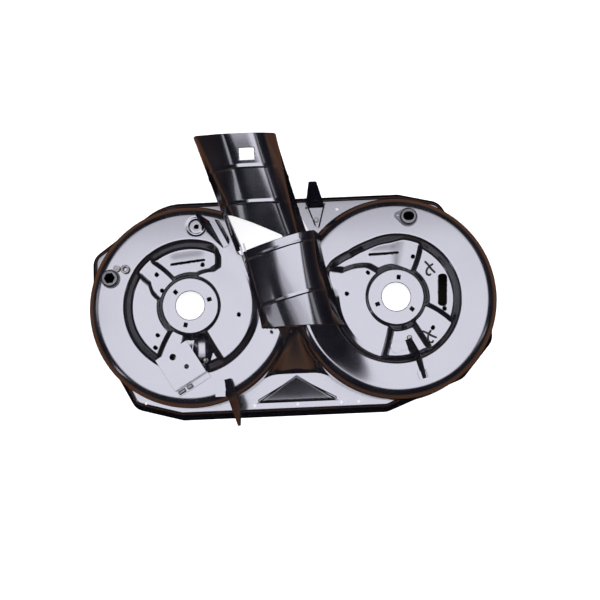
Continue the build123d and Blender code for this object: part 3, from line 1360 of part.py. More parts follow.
with BuildPart() as right_port:
    with BuildSketch(Plane.XY.offset(RING_TOP)) as ear_outline:
        with Locations(from_right(*RIGHT_PORT)):
            Circle(PORT_FLANGE_RADIUS)
        with Locations(from_right(*RIGHT_PORT_EAR)):
            Circle(EAR_RADIUS)
        make_hull()
    extrude(amount=PORT_FLANGE)
    with BuildSketch(Plane.XY.offset(RING_TOP)):
        with Locations(from_right(*RIGHT_PORT)):
            Circle(PORT_BARREL_RADIUS)
    extrude(amount=PORT_HEIGHT)
    fillet(right_port.edges().group_by(Axis.Z)[-1], PORT_FLANGE)
    with BuildSketch(Plane.XY.offset(RING_TOP)):
        with Locations(from_right(*RIGHT_PORT)):
            SlotCenterToCenter(PORT_HOLE_STRETCH, PORT_HOLE_RADIUS * 2.0 - PORT_HOLE_STRETCH)
        with Locations(from_right(*RIGHT_PORT_EAR)):
            Circle(EAR_HOLE_RADIUS)
    extrude(amount=PORT_HEIGHT, mode=Mode.SUBTRACT)

# Two screws on the seam, standing square to the hump's faces
left_face = hump_left_plane()
left_screw_z = left_face.origin.Z - (
    left_face.z_dir.X * (SEAM_SCREW_LEFT[0] - left_face.origin.X)
    + left_face.z_dir.Y * (SEAM_SCREW_LEFT[1] - left_face.origin.Y)
) / left_face.z_dir.Z
mid_screw_z = FLANGE_Z + SEAM_SCREW_MID[1] - HUMP_BASE_Y
with BuildPart() as seam_screws:
    left_seat = Plane((SEAM_SCREW_LEFT[0], SEAM_SCREW_LEFT[1], left_screw_z), z_dir=left_face.z_dir)
    with BuildSketch(left_seat.offset(SEAT_GAP)):
        Circle(SCREW_RADIUS)
    extrude(amount=SCREW_HEIGHT)
    mid_seat = Plane((SEAM_SCREW_MID[0], SEAM_SCREW_MID[1], mid_screw_z), z_dir=front_plane().z_dir)
    with BuildSketch(mid_seat.offset(SEAT_GAP)):
        Circle(SCREW_RADIUS)
    extrude(amount=SCREW_HEIGHT)

# Two lugs hooked on the lower chute's rear left edge
lug_plane = standing_plane(*REAR_LEFT, CHUTE_TURN).offset(LUG_BACK)
with BuildPart() as chute_lugs:
    with BuildSketch(lug_plane):
        with Locations((LUG_LEFT_RUN, LUG_LEFT_TOP), (LUG_RIGHT_RUN, LUG_RIGHT_TOP)):
            Rectangle(LUG_WIDTH, LUG_RISE, align=(Align.CENTER, Align.MAX))
    extrude(amount=-LUG_LENGTH)
    add(chute_form(SEAT_GAP, CHUTE_FOOT_Z, 0.0), mode=Mode.SUBTRACT)

with BuildPart() as spring_clips:
    for spot, turn, level in (
        (from_right(*REAR_CLIP), REAR_CLIP_TURN, RECESS_TOP),
        (from_right(*FRONT_CLIP), FRONT_CLIP_TURN, FLOOR_TOP),
    ):
        with BuildSketch(Plane.XY.offset(level)):
            with Locations(
                Location(spot, turn + SPRING_CLIP_SPREAD), Location(spot, turn - SPRING_CLIP_SPREAD)
            ):
                Rectangle(SPRING_CLIP_LENGTH, SPRING_CLIP_WIDTH)
        extrude(amount=SPRING_CLIP_HEIGHT)

os.makedirs("parts", exist_ok=True)
deck_shell.part.label = "deck_shell"
lower_chute.part.label = "lower_chute"
upper_chute.part.label = "upper_chute"
rear_right_hanger.part.label = "rear_right_hanger"
rear_right_hanger_bolt.part.label = "rear_right_hanger_bolt"
rear_left_hanger.part.label = "rear_left_hanger"
front_left_hanger.part.label = "front_left_hanger"
box_bracket.part.label = "box_bracket"
box_latch.part.label = "box_latch"
box_clip.part.label = "box_clip"
box_bolt.part.label = "box_bolt"
belt_keeper.part.label = "belt_keeper"
belt_keeper_bolt.part.label = "belt_keeper_bolt"
left_port.part.label = "left_port"
left_port_strap.part.label = "left_port_strap"
left_port_stud.part.label = "left_port_stud"
right_port.part.label = "right_port"
seam_screws.part.label = "seam_screws"
chute_lugs.part.label = "chute_lugs"
spring_clips.part.label = "spring_clips"
export_step(deck_shell.part, "parts/deck_shell.step")
export_step(lower_chute.part, "parts/lower_chute.step")
export_step(upper_chute.part, "parts/upper_chute.step")
export_step(rear_right_hanger.part, "parts/rear_right_hanger.step")
export_step(rear_right_hanger_bolt.part, "parts/rear_right_hanger_bolt.step")
export_step(rear_left_hanger.part, "parts/rear_left_hanger.step")
export_step(front_left_hanger.part, "parts/front_left_hanger.step")
export_step(box_bracket.part, "parts/box_bracket.step")
export_step(box_latch.part, "parts/box_latch.step")
export_step(box_clip.part, "parts/box_clip.step")
export_step(box_bolt.part, "parts/box_bolt.step")
export_step(belt_keeper.part, "parts/belt_keeper.step")
export_step(belt_keeper_bolt.part, "parts/belt_keeper_bolt.step")
export_step(left_port.part, "parts/left_port.step")
export_step(left_port_strap.part, "parts/left_port_strap.step")
export_step(left_port_stud.part, "parts/left_port_stud.step")
export_step(right_port.part, "parts/right_port.step")
export_step(seam_screws.part, "parts/seam_screws.step")
export_step(chute_lugs.part, "parts/chute_lugs.step")
export_step(spring_clips.part, "parts/spring_clips.step")
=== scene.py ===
import json
import math

import bmesh
import bpy
import numpy as np
from mathutils import Matrix, Vector


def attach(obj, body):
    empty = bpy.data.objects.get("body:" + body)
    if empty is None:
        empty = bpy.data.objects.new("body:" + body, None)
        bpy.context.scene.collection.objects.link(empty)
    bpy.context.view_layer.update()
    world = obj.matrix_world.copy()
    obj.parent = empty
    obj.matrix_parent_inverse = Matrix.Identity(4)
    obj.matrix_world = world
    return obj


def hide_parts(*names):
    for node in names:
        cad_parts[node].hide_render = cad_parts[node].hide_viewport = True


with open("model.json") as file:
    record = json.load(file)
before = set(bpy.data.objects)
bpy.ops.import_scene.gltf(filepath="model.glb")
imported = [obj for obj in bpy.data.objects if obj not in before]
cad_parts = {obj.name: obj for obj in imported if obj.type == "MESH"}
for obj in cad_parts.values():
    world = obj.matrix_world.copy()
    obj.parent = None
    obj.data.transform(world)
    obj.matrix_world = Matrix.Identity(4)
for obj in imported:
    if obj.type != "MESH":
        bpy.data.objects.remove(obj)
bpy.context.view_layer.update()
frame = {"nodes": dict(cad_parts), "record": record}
nodes = frame["nodes"]
MM = 0.001


# Materials

def linear(hex_colour):
    """An sRGB hex colour as linear red, green, blue and alpha."""
    parts = np.array([int(hex_colour[i:i + 2], 16) for i in (1, 3, 5)]) / 255.0
    lin = np.where(parts <= 0.04045, parts / 12.92, ((parts + 0.055) / 1.055) ** 2.4)
    return (*map(float, lin), 1.0)


def add(tree, kind, links=None, **settings):
    """Adds one node: sockets in links take a value or another node's output, settings are attributes."""
    node = tree.nodes.new(kind)
    for name, value in settings.items():
        setattr(node, name, value)
    for key, value in (links or {}).items():
        if isinstance(value, bpy.types.NodeSocket):
            tree.links.new(value, node.inputs[key])
        else:
            node.inputs[key].default_value = value
    return node


def empty_material(name):
    """A material with no nodes yet, and its node tree."""
    mat = bpy.data.materials.new(name)
    mat.use_nodes = True
    mat.node_tree.nodes.clear()
    return mat, mat.node_tree


def enamel(name, colour, dust, dust_amount, peel_mm, peel, rough, coat_rough):
    """Sprayed and stoved gloss enamel on sheet steel.

    The eye gets a black mirror-like film: a faint orange peel breaks its reflections, a thin grey dust lies on the
    faces that look up, and fine specks of grit are caught in the film.
    """
    mat, tree = empty_material(name)
    where = add(tree, "ShaderNodeTexCoord").outputs["Object"]
    cloud = add(tree, "ShaderNodeTexNoise", {"Vector": where, "Scale": 1.0 / (85.0 * MM), "Detail": 5.0})
    # Grit of about 0.3 mm is drawn at 1.6 mm so that it shows
    grit = add(tree, "ShaderNodeTexVoronoi", {"Vector": where, "Scale": 1.0 / (16.0 * MM)})
    speck = add(
        tree, "ShaderNodeMapRange",
        {"Value": grit.outputs["Distance"], "From Min": 0.03, "From Max": 0.075, "To Min": 1.0, "To Max": 0.0},
    )
    wave = add(tree, "ShaderNodeTexNoise", {"Vector": where, "Scale": 1.0 / (peel_mm * MM), "Detail": 1.0})
    geo = add(tree, "ShaderNodeNewGeometry")
    level = add(tree, "ShaderNodeSeparateXYZ", {"Vector": geo.outputs["Normal"]})
    flat = add(tree, "ShaderNodeMapRange", {"Value": level.outputs["Z"], "From Min": 0.55, "From Max": 1.0})
    film = add(
        tree, "ShaderNodeMapRange",
        {"Value": cloud.outputs["Fac"], "From Min": 0.38, "From Max": 0.78, "To Min": 0.0, "To Max": dust_amount},
    )
    settled = add(
        tree, "ShaderNodeMath", {0: flat.outputs["Result"], 1: film.outputs["Result"]}, operation="MULTIPLY"
    )
    caught = add(
        tree, "ShaderNodeMath", {0: speck.outputs["Result"], 1: flat.outputs["Result"]}, operation="MULTIPLY"
    )
    spread = add(
        tree, "ShaderNodeMath", {0: settled.outputs[0], 1: caught.outputs[0]}, operation="MAXIMUM"
    )
    tint = add(
        tree, "ShaderNodeMix", {0: spread.outputs[0], 6: linear(colour), 7: linear(dust)}, data_type="RGBA"
    )
    haze = add(
        tree, "ShaderNodeMapRange",
        {"Value": cloud.outputs["Fac"], "From Min": 0.3, "From Max": 0.8, "To Min": rough, "To Max": rough * 1.8},
    )
    bump = add(tree, "ShaderNodeBump", {"Height": wave.outputs["Fac"], "Strength": peel, "Distance": 0.05 * MM})
    skin = add(
        tree, "ShaderNodeBsdfPrincipled",
        {
            "Base Color": tint.outputs[2], "Roughness": haze.outputs["Result"], "IOR": 1.5,
            "Coat Weight": 1.0, "Coat Roughness": coat_rough, "Coat IOR": 1.55, "Normal": bump.outputs["Normal"],
        },
    )
    add(tree, "ShaderNodeOutputMaterial", {"Surface": skin.outputs["BSDF"]})
    return mat


deck_enamel = enamel("stoved_gloss_enamel_on_pressed_steel", "#101014", "#3a383c", 0.30, 2.4, 0.05, 0.14, 0.13)
chute_enamel = enamel("stoved_gloss_enamel_on_drawn_chute", "#0e0e13", "#3a383c", 0.2, 2.2, 0.03, 0.14, 0.07)
bracket_enamel = enamel("stoved_enamel_on_cut_plate", "#121217", "#403e42", 0.30, 2.0, 0.06, 0.16, 0.08)


def moulded_plastic(name, colour, rough):
    """Injection-moulded black nylon: a satin face with a fine spark-eroded grain, greyer where it is rubbed."""
    mat, tree = empty_material(name)
    where = add(tree, "ShaderNodeTexCoord").outputs["Object"]
    # Grain of about 0.1 mm is drawn at 0.9 mm so that it shows
    grain = add(tree, "ShaderNodeTexNoise", {"Vector": where, "Scale": 1.0 / (0.9 * MM), "Detail": 2.0})
    rub = add(tree, "ShaderNodeTexNoise", {"Vector": where, "Scale": 1.0 / (14.0 * MM), "Detail": 3.0})
    worn = add(tree, "ShaderNodeMapRange", {"Value": rub.outputs["Fac"], "From Min": 0.45, "From Max": 0.75})
    tint = add(
        tree, "ShaderNodeMix", {0: worn.outputs["Result"], 6: linear(colour), 7: linear("#2c2c31")}, data_type="RGBA"
    )
    bump = add(tree, "ShaderNodeBump", {"Height": grain.outputs["Fac"], "Strength": 0.12, "Distance": 0.1 * MM})
    matt = add(
        tree, "ShaderNodeMapRange",
        {"Value": rub.outputs["Fac"], "From Min": 0.3, "From Max": 0.7, "To Min": rough, "To Max": rough * 1.35},
    )
    skin = add(
        tree, "ShaderNodeBsdfPrincipled",
        {
            "Base Color": tint.outputs[2], "Roughness": matt.outputs["Result"], "IOR": 1.53,
            "Normal": bump.outputs["Normal"],
        },
    )
    add(tree, "ShaderNodeOutputMaterial", {"Surface": skin.outputs["BSDF"]})
    return mat


def plated(name, colour, rough):
    """Plated or phosphated steel: a dull dark metal with cloudy tone and short rolling scratches."""
    mat, tree = empty_material(name)
    where = add(tree, "ShaderNodeTexCoord").outputs["Object"]
    cloud = add(tree, "ShaderNodeTexNoise", {"Vector": where, "Scale": 1.0 / (6.0 * MM), "Detail": 4.0})
    tint = add(
        tree, "ShaderNodeMix", {0: cloud.outputs["Fac"], 6: linear(colour), 7: linear("#3b3936")}, data_type="RGBA"
    )
    # Scratches of about 0.05 mm are drawn at 0.6 mm so that they show
    score = add(tree, "ShaderNodeTexNoise", {"Vector": where, "Scale": 1.0 / (0.6 * MM), "Detail": 2.0})
    bump = add(tree, "ShaderNodeBump", {"Height": score.outputs["Fac"], "Strength": 0.1, "Distance": 0.05 * MM})
    matt = add(
        tree, "ShaderNodeMapRange",
        {"Value": cloud.outputs["Fac"], "From Min": 0.3, "From Max": 0.7, "To Min": rough, "To Max": rough * 1.4},
    )
    skin = add(
        tree, "ShaderNodeBsdfPrincipled",
        {
            "Base Color": tint.outputs[2], "Metallic": 1.0, "Roughness": matt.outputs["Result"],
            "Normal": bump.outputs["Normal"],
        },
    )
    add(tree, "ShaderNodeOutputMaterial", {"Surface": skin.outputs["BSDF"]})
    return mat


black_nylon = moulded_plastic("injection_moulded_black_nylon", "#141417", 0.26)
dark_zinc = plated("zinc_plated_steel_dark_passivated", "#6d6a66", 0.32)
spring_wire = plated("spring_steel_wire_black_phosphated", "#1b1a1c", 0.34)

FINISHES = {
    "deck_enamel": deck_enamel, "chute_enamel": chute_enamel, "bracket_enamel": bracket_enamel,
    "black_plastic": black_nylon, "plated_steel": dark_zinc,
}


# Ways to make a piece

def grid_faces(rows, columns):
    """Quads of a grid of points, row by row; each cell is one quad whose face looks along rows x columns."""
    r = np.arange(rows - 1)[:, None] * columns
    c = np.arange(columns - 1)[None, :]
    return np.stack([r + c, r + c + 1, r + columns + c + 1, r + columns + c], -1).reshape(-1, 4)


def placed(name, mesh, node, slot):
    """An object with the slot's finish that rides on the root and shows in place of a CAD node."""
    mesh.materials.clear()
    mesh.materials.append(FINISHES[slot])
    piece = bpy.data.objects.new(name, mesh)
    bpy.context.scene.collection.objects.link(piece)
    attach(piece, "root")
    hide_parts(node)
    return piece


def stand_in(name, points, faces, node, slot):
    """Mesh piece from points in mm and faces, welded where points meet."""
    mesh = bpy.data.meshes.new(name)
    mesh.from_pydata((points.reshape(-1, 3) * MM).tolist(), [], faces.tolist())
    work = bmesh.new()
    work.from_mesh(mesh)
    bmesh.ops.remove_doubles(work, verts=work.verts, dist=0.004 * MM)
    loose = [v for v in work.verts if not v.link_faces]
    bmesh.ops.delete(work, geom=loose, context="VERTS")
    work.to_mesh(mesh)
    work.free()
    mesh.shade_smooth()
    return placed(name, mesh, node, slot)


def own_mesh(node, name, slot, crease, trim):
    """A CAD piece's mesh as a piece of its own: a merged copy, trimmed, smooth where faces meet below the crease."""
    mesh = nodes[node].data.copy()
    mesh.name = name
    work = bmesh.new()
    work.from_mesh(mesh)
    bmesh.ops.remove_doubles(work, verts=work.verts, dist=0.02 * MM)
    trim(work)
    for face in work.faces:
        face.smooth = True
    for edge in work.edges:
        edge.smooth = edge.is_manifold and edge.calc_face_angle() < math.radians(crease)
    work.to_mesh(mesh)
    work.free()
    return placed(name, mesh, node, slot)


def sheet_wall(piece, thick):
    """Gives a skin its sheet thickness towards the inside."""
    wall = piece.modifiers.new("sheet", "SOLIDIFY")
    wall.thickness = thick * MM
    wall.offset = -1.0
    wall.use_even_offset = True


def rounded(corners, radii, count):
    """Bent line with rounded corners, as count points evenly spaced along it.

    At each inner corner an arc of the given radius starts r tan(turn / 2) before the corner, or at 0.48 of the
    shorter run, and sweeps the angle between the two runs.
    """
    corners = np.asarray(corners, float)
    parts = [corners[:1]]
    for before, here, after, radius in zip(corners[:-2], corners[1:-1], corners[2:], radii):
        run_in, run_out = here - before, after - here
        first = math.atan2(run_in[1], run_in[0])
        turn = math.atan2(run_in[0] * run_out[1] - run_in[1] * run_out[0], float(run_in @ run_out))
        reach = abs(radius * math.tan(turn / 2.0))
        reach = min(reach, 0.48 * np.hypot(*run_in), 0.48 * np.hypot(*run_out))
        radius = reach / max(abs(math.tan(turn / 2.0)), 1e-6)
        side = math.copysign(1.0, turn)
        start = here - reach * np.array([math.cos(first), math.sin(first)])
        centre = start + side * radius * np.array([-math.sin(first), math.cos(first)])
        heading = first + turn * np.linspace(0.0, 1.0, 25)
        parts.append(centre + side * radius * np.stack([np.sin(heading), -np.cos(heading)], 1))
    path = np.concatenate([*parts, corners[-1:]])
    length = np.concatenate([[0.0], np.cumsum(np.hypot(*np.diff(path, axis=0).T))])
    want = np.linspace(0.0, length[-1], count)
    return np.stack([np.interp(want, length, path[:, 0]), np.interp(want, length, path[:, 1])], 1)


def stood(section, x, y, turn):
    """A section of run and height stood upright at a point, its run turned from the X axis."""
    lean = math.radians(turn)
    return np.stack([x + section[:, 0] * math.cos(lean), y + section[:, 0] * math.sin(lean), section[:, 1]], 1)


def skin_normals(grid):
    """Unit normals of a grid: the cross product of its steps across and along."""
    along, across = np.gradient(grid, axis=0), np.gradient(grid, axis=1)
    normal = np.cross(across, along)
    return normal / np.maximum(np.linalg.norm(normal, axis=-1, keepdims=True), 1e-9)


def bead(distance, half_width, rise):
    """Height of a pressed bead at a distance from its line: half a cosine wave, zero outside its width."""
    return 0.5 * rise * (1.0 + np.cos(np.pi * np.clip(distance / half_width, -1.0, 1.0)))


def smooth_step(value, low, high):
    """Rises from 0 to 1 between low and high with level ends: 3 t^2 - 2 t^3."""
    t = np.clip((value - low) / (high - low), 0.0, 1.0)
    return t * t * (3.0 - 2.0 * t)


def onto_edge(spot, distance, reach):
    """Shift in plan that takes points within reach of an edge onto it, against the slope of the distance."""
    step = 0.05
    slope = np.stack([
        distance(spot + [step, 0.0]) - distance(spot - [step, 0.0]),
        distance(spot + [0.0, step]) - distance(spot - [0.0, step]),
    ], -1) / (2.0 * step)
    away = distance(spot)
    return np.where((np.abs(away) < reach)[..., None], -slope * away[..., None], 0.0)


def cross_bead(behind):
    """Height of a chute's cross bead at a distance behind its line: a steep front face, a straight fall to the rear."""
    return BEAD_RISE * smooth_step(behind, -BEAD_FRONT, 0.0) * np.clip(1.0 - behind / BEAD_REAR, 0.0, 1.0)


# Lower chute: three arch sections, a quadratic through them along the length, two beads
CHUTE_SHEET = 2.4
BEAD_FRONT, BEAD_REAR, BEAD_RISE = 2.2, 6.5, 1.5
CHUTE_TURN = 13.5
SEAM_AT, MIDDLE_AT, REAR_AT = (0.0, -64.0), (-90.0, -12.0), (-124.0, 115.0)
# How far the beads lie in front of the rear and middle sections
REAR_BEAD, FRONT_BEAD = 20.5, 5.5
CHUTE_FOOT = 92.0
ACROSS, ALONG = 181, 201


def crowned(left, crown, right, wall_left, wall_right, corner):
    """Arch section: upright walls, then a parabola from each top corner to a level crown, as evenly spaced points."""
    t = np.linspace(0.0, 1.0, 12)[:, None]
    left, crown, right = np.array(left, float), np.array(crown, float), np.array(right, float)
    rise = left + (crown - left) * np.concatenate([t, 2.0 * t - t * t], 1)
    fall = crown + (right - crown) * np.concatenate([t, t * t], 1)
    line = np.concatenate([wall_left, rise, fall[1:], wall_right])
    radii = np.full(len(line) - 2, 200.0)
    radii[[0, 1, -2, -1]] = (20.0, corner, corner, 20.0)
    return rounded(line, radii, ACROSS)


seam = stood(crowned(
    (-79, 118), (24, 162), (124, 111), [(-82, CHUTE_FOOT), (-81, 105)], [(128, 101), (130, CHUTE_FOOT)], 8.0
), *SEAM_AT, 0.0)
middle = stood(crowned(
    (13, 143), (116, 177), (174, 149), [(-5, CHUTE_FOOT), (5, 126)], [(187, 126), (196, CHUTE_FOOT)], 16.0
), *MIDDLE_AT, CHUTE_TURN)
rear = stood(crowned(
    (13, 163), (138, 204), (186, 182), [(-5, CHUTE_FOOT), (5, 126)], [(198, 126), (207, CHUTE_FOOT)], 16.0
), *REAR_AT, CHUTE_TURN)
MIDDLE_SHARE = 0.38
t = np.linspace(0.0, 1.0, ALONG)[:, None, None]
throat = (
    seam * ((t - MIDDLE_SHARE) * (t - 1.0) / MIDDLE_SHARE)
    + middle * (t * (t - 1.0) / (MIDDLE_SHARE * (MIDDLE_SHARE - 1.0)))
    + rear * (t * (t - MIDDLE_SHARE) / (1.0 - MIDDLE_SHARE))
)
forward = np.array([math.sin(math.radians(CHUTE_TURN)), -math.cos(math.radians(CHUTE_TURN)), 0.0])
from_rear = (throat - np.array([*REAR_AT, 0.0])) @ forward
from_middle = (throat - np.array([*MIDDLE_AT, 0.0])) @ forward
lift = cross_bead(REAR_BEAD - from_rear) + cross_bead(FRONT_BEAD - from_middle)
# The beads run out at the tops of the side walls
lift *= smooth_step(throat[..., 2], 120.0, 132.0)
throat = throat + skin_normals(throat) * lift[..., None]
lower_chute = stand_in("lower_chute_pressing", throat, grid_faces(ALONG, ACROSS), "lower_chute", "chute_enamel")
sheet_wall(lower_chute, CHUTE_SHEET)

# Upper chute: straight lines between its front and rear sections, a slanting mouth, two beads and a hole
DUCT_FRONT, DUCT_REAR = 122.0, 380.0
DUCT_FOOT = 118.2
DUCT_RADII = (26.0, 60.0, 60.0, 26.0)
DUCT_BEADS = (296.5, 220.5)
DUCT_ACROSS, DUCT_ALONG, DUCT_WALL_ROWS = 181, 181, 70
front_arch = rounded(
    [(-132.5, DUCT_FOOT), (-132.5, 137), (-92, 189), (14, 189), (52, 137), (52, DUCT_FOOT)], DUCT_RADII, DUCT_ACROSS
)
rear_arch = rounded(
    [(-217, DUCT_FOOT), (-217, 240), (-146, 292), (-65, 292), (-23, 240), (-23, DUCT_FOOT)], DUCT_RADII, DUCT_ACROSS
)


def duct_point(y, one, two):
    """Point of the duct at a distance to the rear, on the straight line between its two sections.

    Below the side bends the wall is drawn together towards a lower edge that rises to the rear.
    """
    share = (y - DUCT_FRONT) / (DUCT_REAR - DUCT_FRONT)
    x = one[..., 0] + share * (two[..., 0] - one[..., 0])
    z = one[..., 1] + share * (two[..., 1] - one[..., 1])
    edge = DUCT_FOOT + np.clip(y - 218.0, 0.0, None) * 0.345
    bend = 126.5 + share * 104.0
    z = np.where(z < bend, edge + (z - DUCT_FOOT) * (bend - edge) / (bend - DUCT_FOOT), z)
    return np.stack([x, y, z], -1)


# Mouth: the line where the roof starts, solved on each straight line of the surface
slope_x = (rear_arch[:, 0] - front_arch[:, 0]) / (DUCT_REAR - DUCT_FRONT)
slope_z = (rear_arch[:, 1] - front_arch[:, 1]) / (DUCT_REAR - DUCT_FRONT)
mouth_a, mouth_b, mouth_c = np.array([-146.0, 203.0]), np.array([-21.0, 147.0]), np.array([2.0, 117.0])


def mouth_line(one, two):
    """Distance to the rear at which each straight line of the surface crosses the line between two points."""
    fall = (two[1] - one[1]) / (two[0] - one[0])
    start = front_arch[:, 0] - slope_x * DUCT_FRONT
    return (one[1] + fall * (start - one[0])) / (1.0 - fall * slope_x)


first_line = mouth_line(mouth_a, mouth_b)
second_line = mouth_line(mouth_b, mouth_c)
mouth = np.clip(np.minimum(first_line, second_line), DUCT_FRONT, None)
lean = math.tan(math.radians(15.0))
tail = (DUCT_REAR + lean * (240.0 - front_arch[:, 1] + slope_z * DUCT_FRONT)) / (1.0 + lean * slope_z)
tail = np.minimum(tail, DUCT_REAR - 0.5 * CHUTE_SHEET)
wall_height = front_arch[:, 0] + slope_x * 40.0 - (-132.5 - 84.5 / 258.0 * 40.0)
keep = int(np.argmax(wall_height > 13.0))
t = np.linspace(0.0, 1.0, DUCT_ALONG)[:, None]
start_y = np.where(np.arange(DUCT_ACROSS) < keep, mouth[keep], mouth)
roof_y = start_y + t * (tail - start_y)
roof = duct_point(roof_y, front_arch[None], rear_arch[None])
t = np.linspace(0.0, 1.0, DUCT_WALL_ROWS)[:, None]
wall_y = DUCT_FRONT + t * (np.full(keep + 1, mouth[keep]) - DUCT_FRONT)
wall = duct_point(wall_y, front_arch[None, :keep + 1], rear_arch[None, :keep + 1])


def with_beads(grid):
    """The duct's skin lifted by its two cross beads."""
    rise = sum(cross_bead(grid[..., 1] - line) for line in DUCT_BEADS)
    return grid + skin_normals(grid) * rise[..., None]


roof, wall = with_beads(roof), with_beads(wall)
# Hole: points near its edge are drawn onto it, and the cells inside it are left out
HOLE = np.array([-90.7, 323.5])
HOLE_HALF = np.array([17.0, 12.5])
HOLE_ROUND = 2.5


def hole_distance(spot):
    """Signed distance from a rectangle with rounded corners, negative inside."""
    over = np.abs(spot - HOLE) - (HOLE_HALF - HOLE_ROUND)
    return np.linalg.norm(np.maximum(over, 0.0), axis=-1) + np.minimum(over.max(-1), 0.0) - HOLE_ROUND


points = np.concatenate([roof.reshape(-1, 3), wall.reshape(-1, 3)])
shift = onto_edge(points[:, :2], hole_distance, 0.75)
ROOF_SLOPE = 103.0 / 258.0
points = points + np.concatenate([shift, ROOF_SLOPE * shift[:, 1:]], 1)
faces = np.concatenate([
    grid_faces(DUCT_ALONG, DUCT_ACROSS), roof.shape[0] * roof.shape[1] + grid_faces(DUCT_WALL_ROWS, keep + 1)
])
faces = faces[hole_distance(points[faces, :2].mean(1)) > 0.0]
upper_chute = stand_in("upper_chute_duct", points, faces, "upper_chute", "chute_enamel")
sheet_wall(upper_chute, CHUTE_SHEET)

# Deck shell: two turned rings with sunk pockets, the hump between them, the skirt and flange from the solid
SHEET = 2.8
RING_Z, FLOOR_Z, RECESS_Z, SEAT_Z, FLANGE_Z = 118.0, 106.0, 97.0, 112.0, 42.0
BORE_RADIUS, SEAT_RADIUS = 35.0, 66.0
ROLL_START = 221.0
SHOULDER = ((0.0, 40.0, 24.0), (40.0, 62.0, 40.0), (62.0, 86.0, 8.0))
FOOT_RADIUS = 249.7
LEFT_SPINDLE, RIGHT_SPINDLE = np.array([-250.0, 0.0]), np.array([250.0, 0.0])
RING_COLUMNS = 440
POCKET_ROWS, TOP_ROWS, ROLL_ROWS, WALL_ROWS = 77, 20, 5, 3
POCKET_REACH = 172.0
HOLE_CELL, THROAT_CELL = 1.7, 3.2
# Throat and rear opening, a little inside the chutes' walls
THROAT = np.array([
    (-75.0, -62.0), (122.0, -62.0), (89.0, 31.0), (66.0, 159.0), (16.0, 243.0), (-161.0, 243.0), (-126.0, 122.0),
    (-118.0, 113.0), (-84.0, -12.0),
])


def polygon_distance(spot, corners):
    """Signed distance from a closed polygon, negative inside: the nearest edge, and a count of crossings."""
    ahead = np.roll(corners, -1, axis=0)
    run = ahead - corners
    offset = spot[..., None, :] - corners
    share = np.clip((offset * run).sum(-1) / (run * run).sum(-1), 0.0, 1.0)
    near = np.linalg.norm(offset - share[..., None] * run, axis=-1).min(-1)
    low, high = corners[:, 1] > spot[..., None, 1], ahead[:, 1] > spot[..., None, 1]
    slant = np.where(run[:, 1] == 0.0, 1e-9, run[:, 1])
    cross = (low != high) & (spot[..., None, 0] < corners[:, 0] + offset[..., 1] * run[:, 0] / slant)
    return np.where(cross.sum(-1) % 2 == 1, -near, near)


def turned_box(spot, centre, length, width, turn, rounding):
    """Signed distance from a rectangle with rounded corners, turned by degrees, negative inside."""
    lean = math.radians(turn)
    run = (spot - np.array(centre)) @ np.array([[math.cos(lean), -math.sin(lean)], [math.sin(lean), math.cos(lean)]])
    over = np.abs(run) - (np.array([length, width]) / 2.0 - rounding)
    return np.linalg.norm(np.maximum(over, 0.0), axis=-1) + np.minimum(over.max(-1), 0.0) - rounding


def spoke_side(radius, angle, line, wide):
    """0 to 1 across a wall that follows a line of radius and angle pairs, from its low to its high angle."""
    radii, angles = np.array(line).T
    away = radius * np.sin(np.radians(angle - np.interp(radius, radii, angles)))
    return smooth_step(away, -wide / 2.0, wide / 2.0)


def louvre(spot, centre, turn, length, reach, rise):
    """Hood of a louvre: a sharp front edge, then a slight fall to the rear and short rounded ends and back."""
    lean = math.radians(turn)
    run = (spot - np.array(centre)) @ np.array([[math.cos(lean), -math.sin(lean)], [math.sin(lean), math.cos(lean)]])
    ends = smooth_step(-np.abs(run[..., 0]), -length / 2.0, 24.0 - length / 2.0)
    fall = 0.55 + 0.45 * np.clip(1.0 - run[..., 1] / reach, 0.0, 1.0)
    back = fall * smooth_step(-run[..., 1], -reach, 18.0 - reach)
    return np.where(run[..., 1] > 0.0, rise * ends * back, 0.0)


def pocket_skin(radius, land, recess, foot_land, foot_recess, rim):
    """Height of a pocket: land or recess floor, a soft wall up to the ring, and the seat about the spindle."""
    floor = land + (RECESS_Z - FLOOR_Z) * recess + np.minimum(FLOOR_Z - land, 0.0) * recess
    foot = foot_land + (foot_recess - foot_land) * recess
    level = floor + (RING_Z - floor) * smooth_step(radius, foot, rim)
    seat_run = 9.0 + 9.0 * recess
    return level + (SEAT_Z - level) * (1.0 - smooth_step(radius, SEAT_RADIUS, SEAT_RADIUS + seat_run))


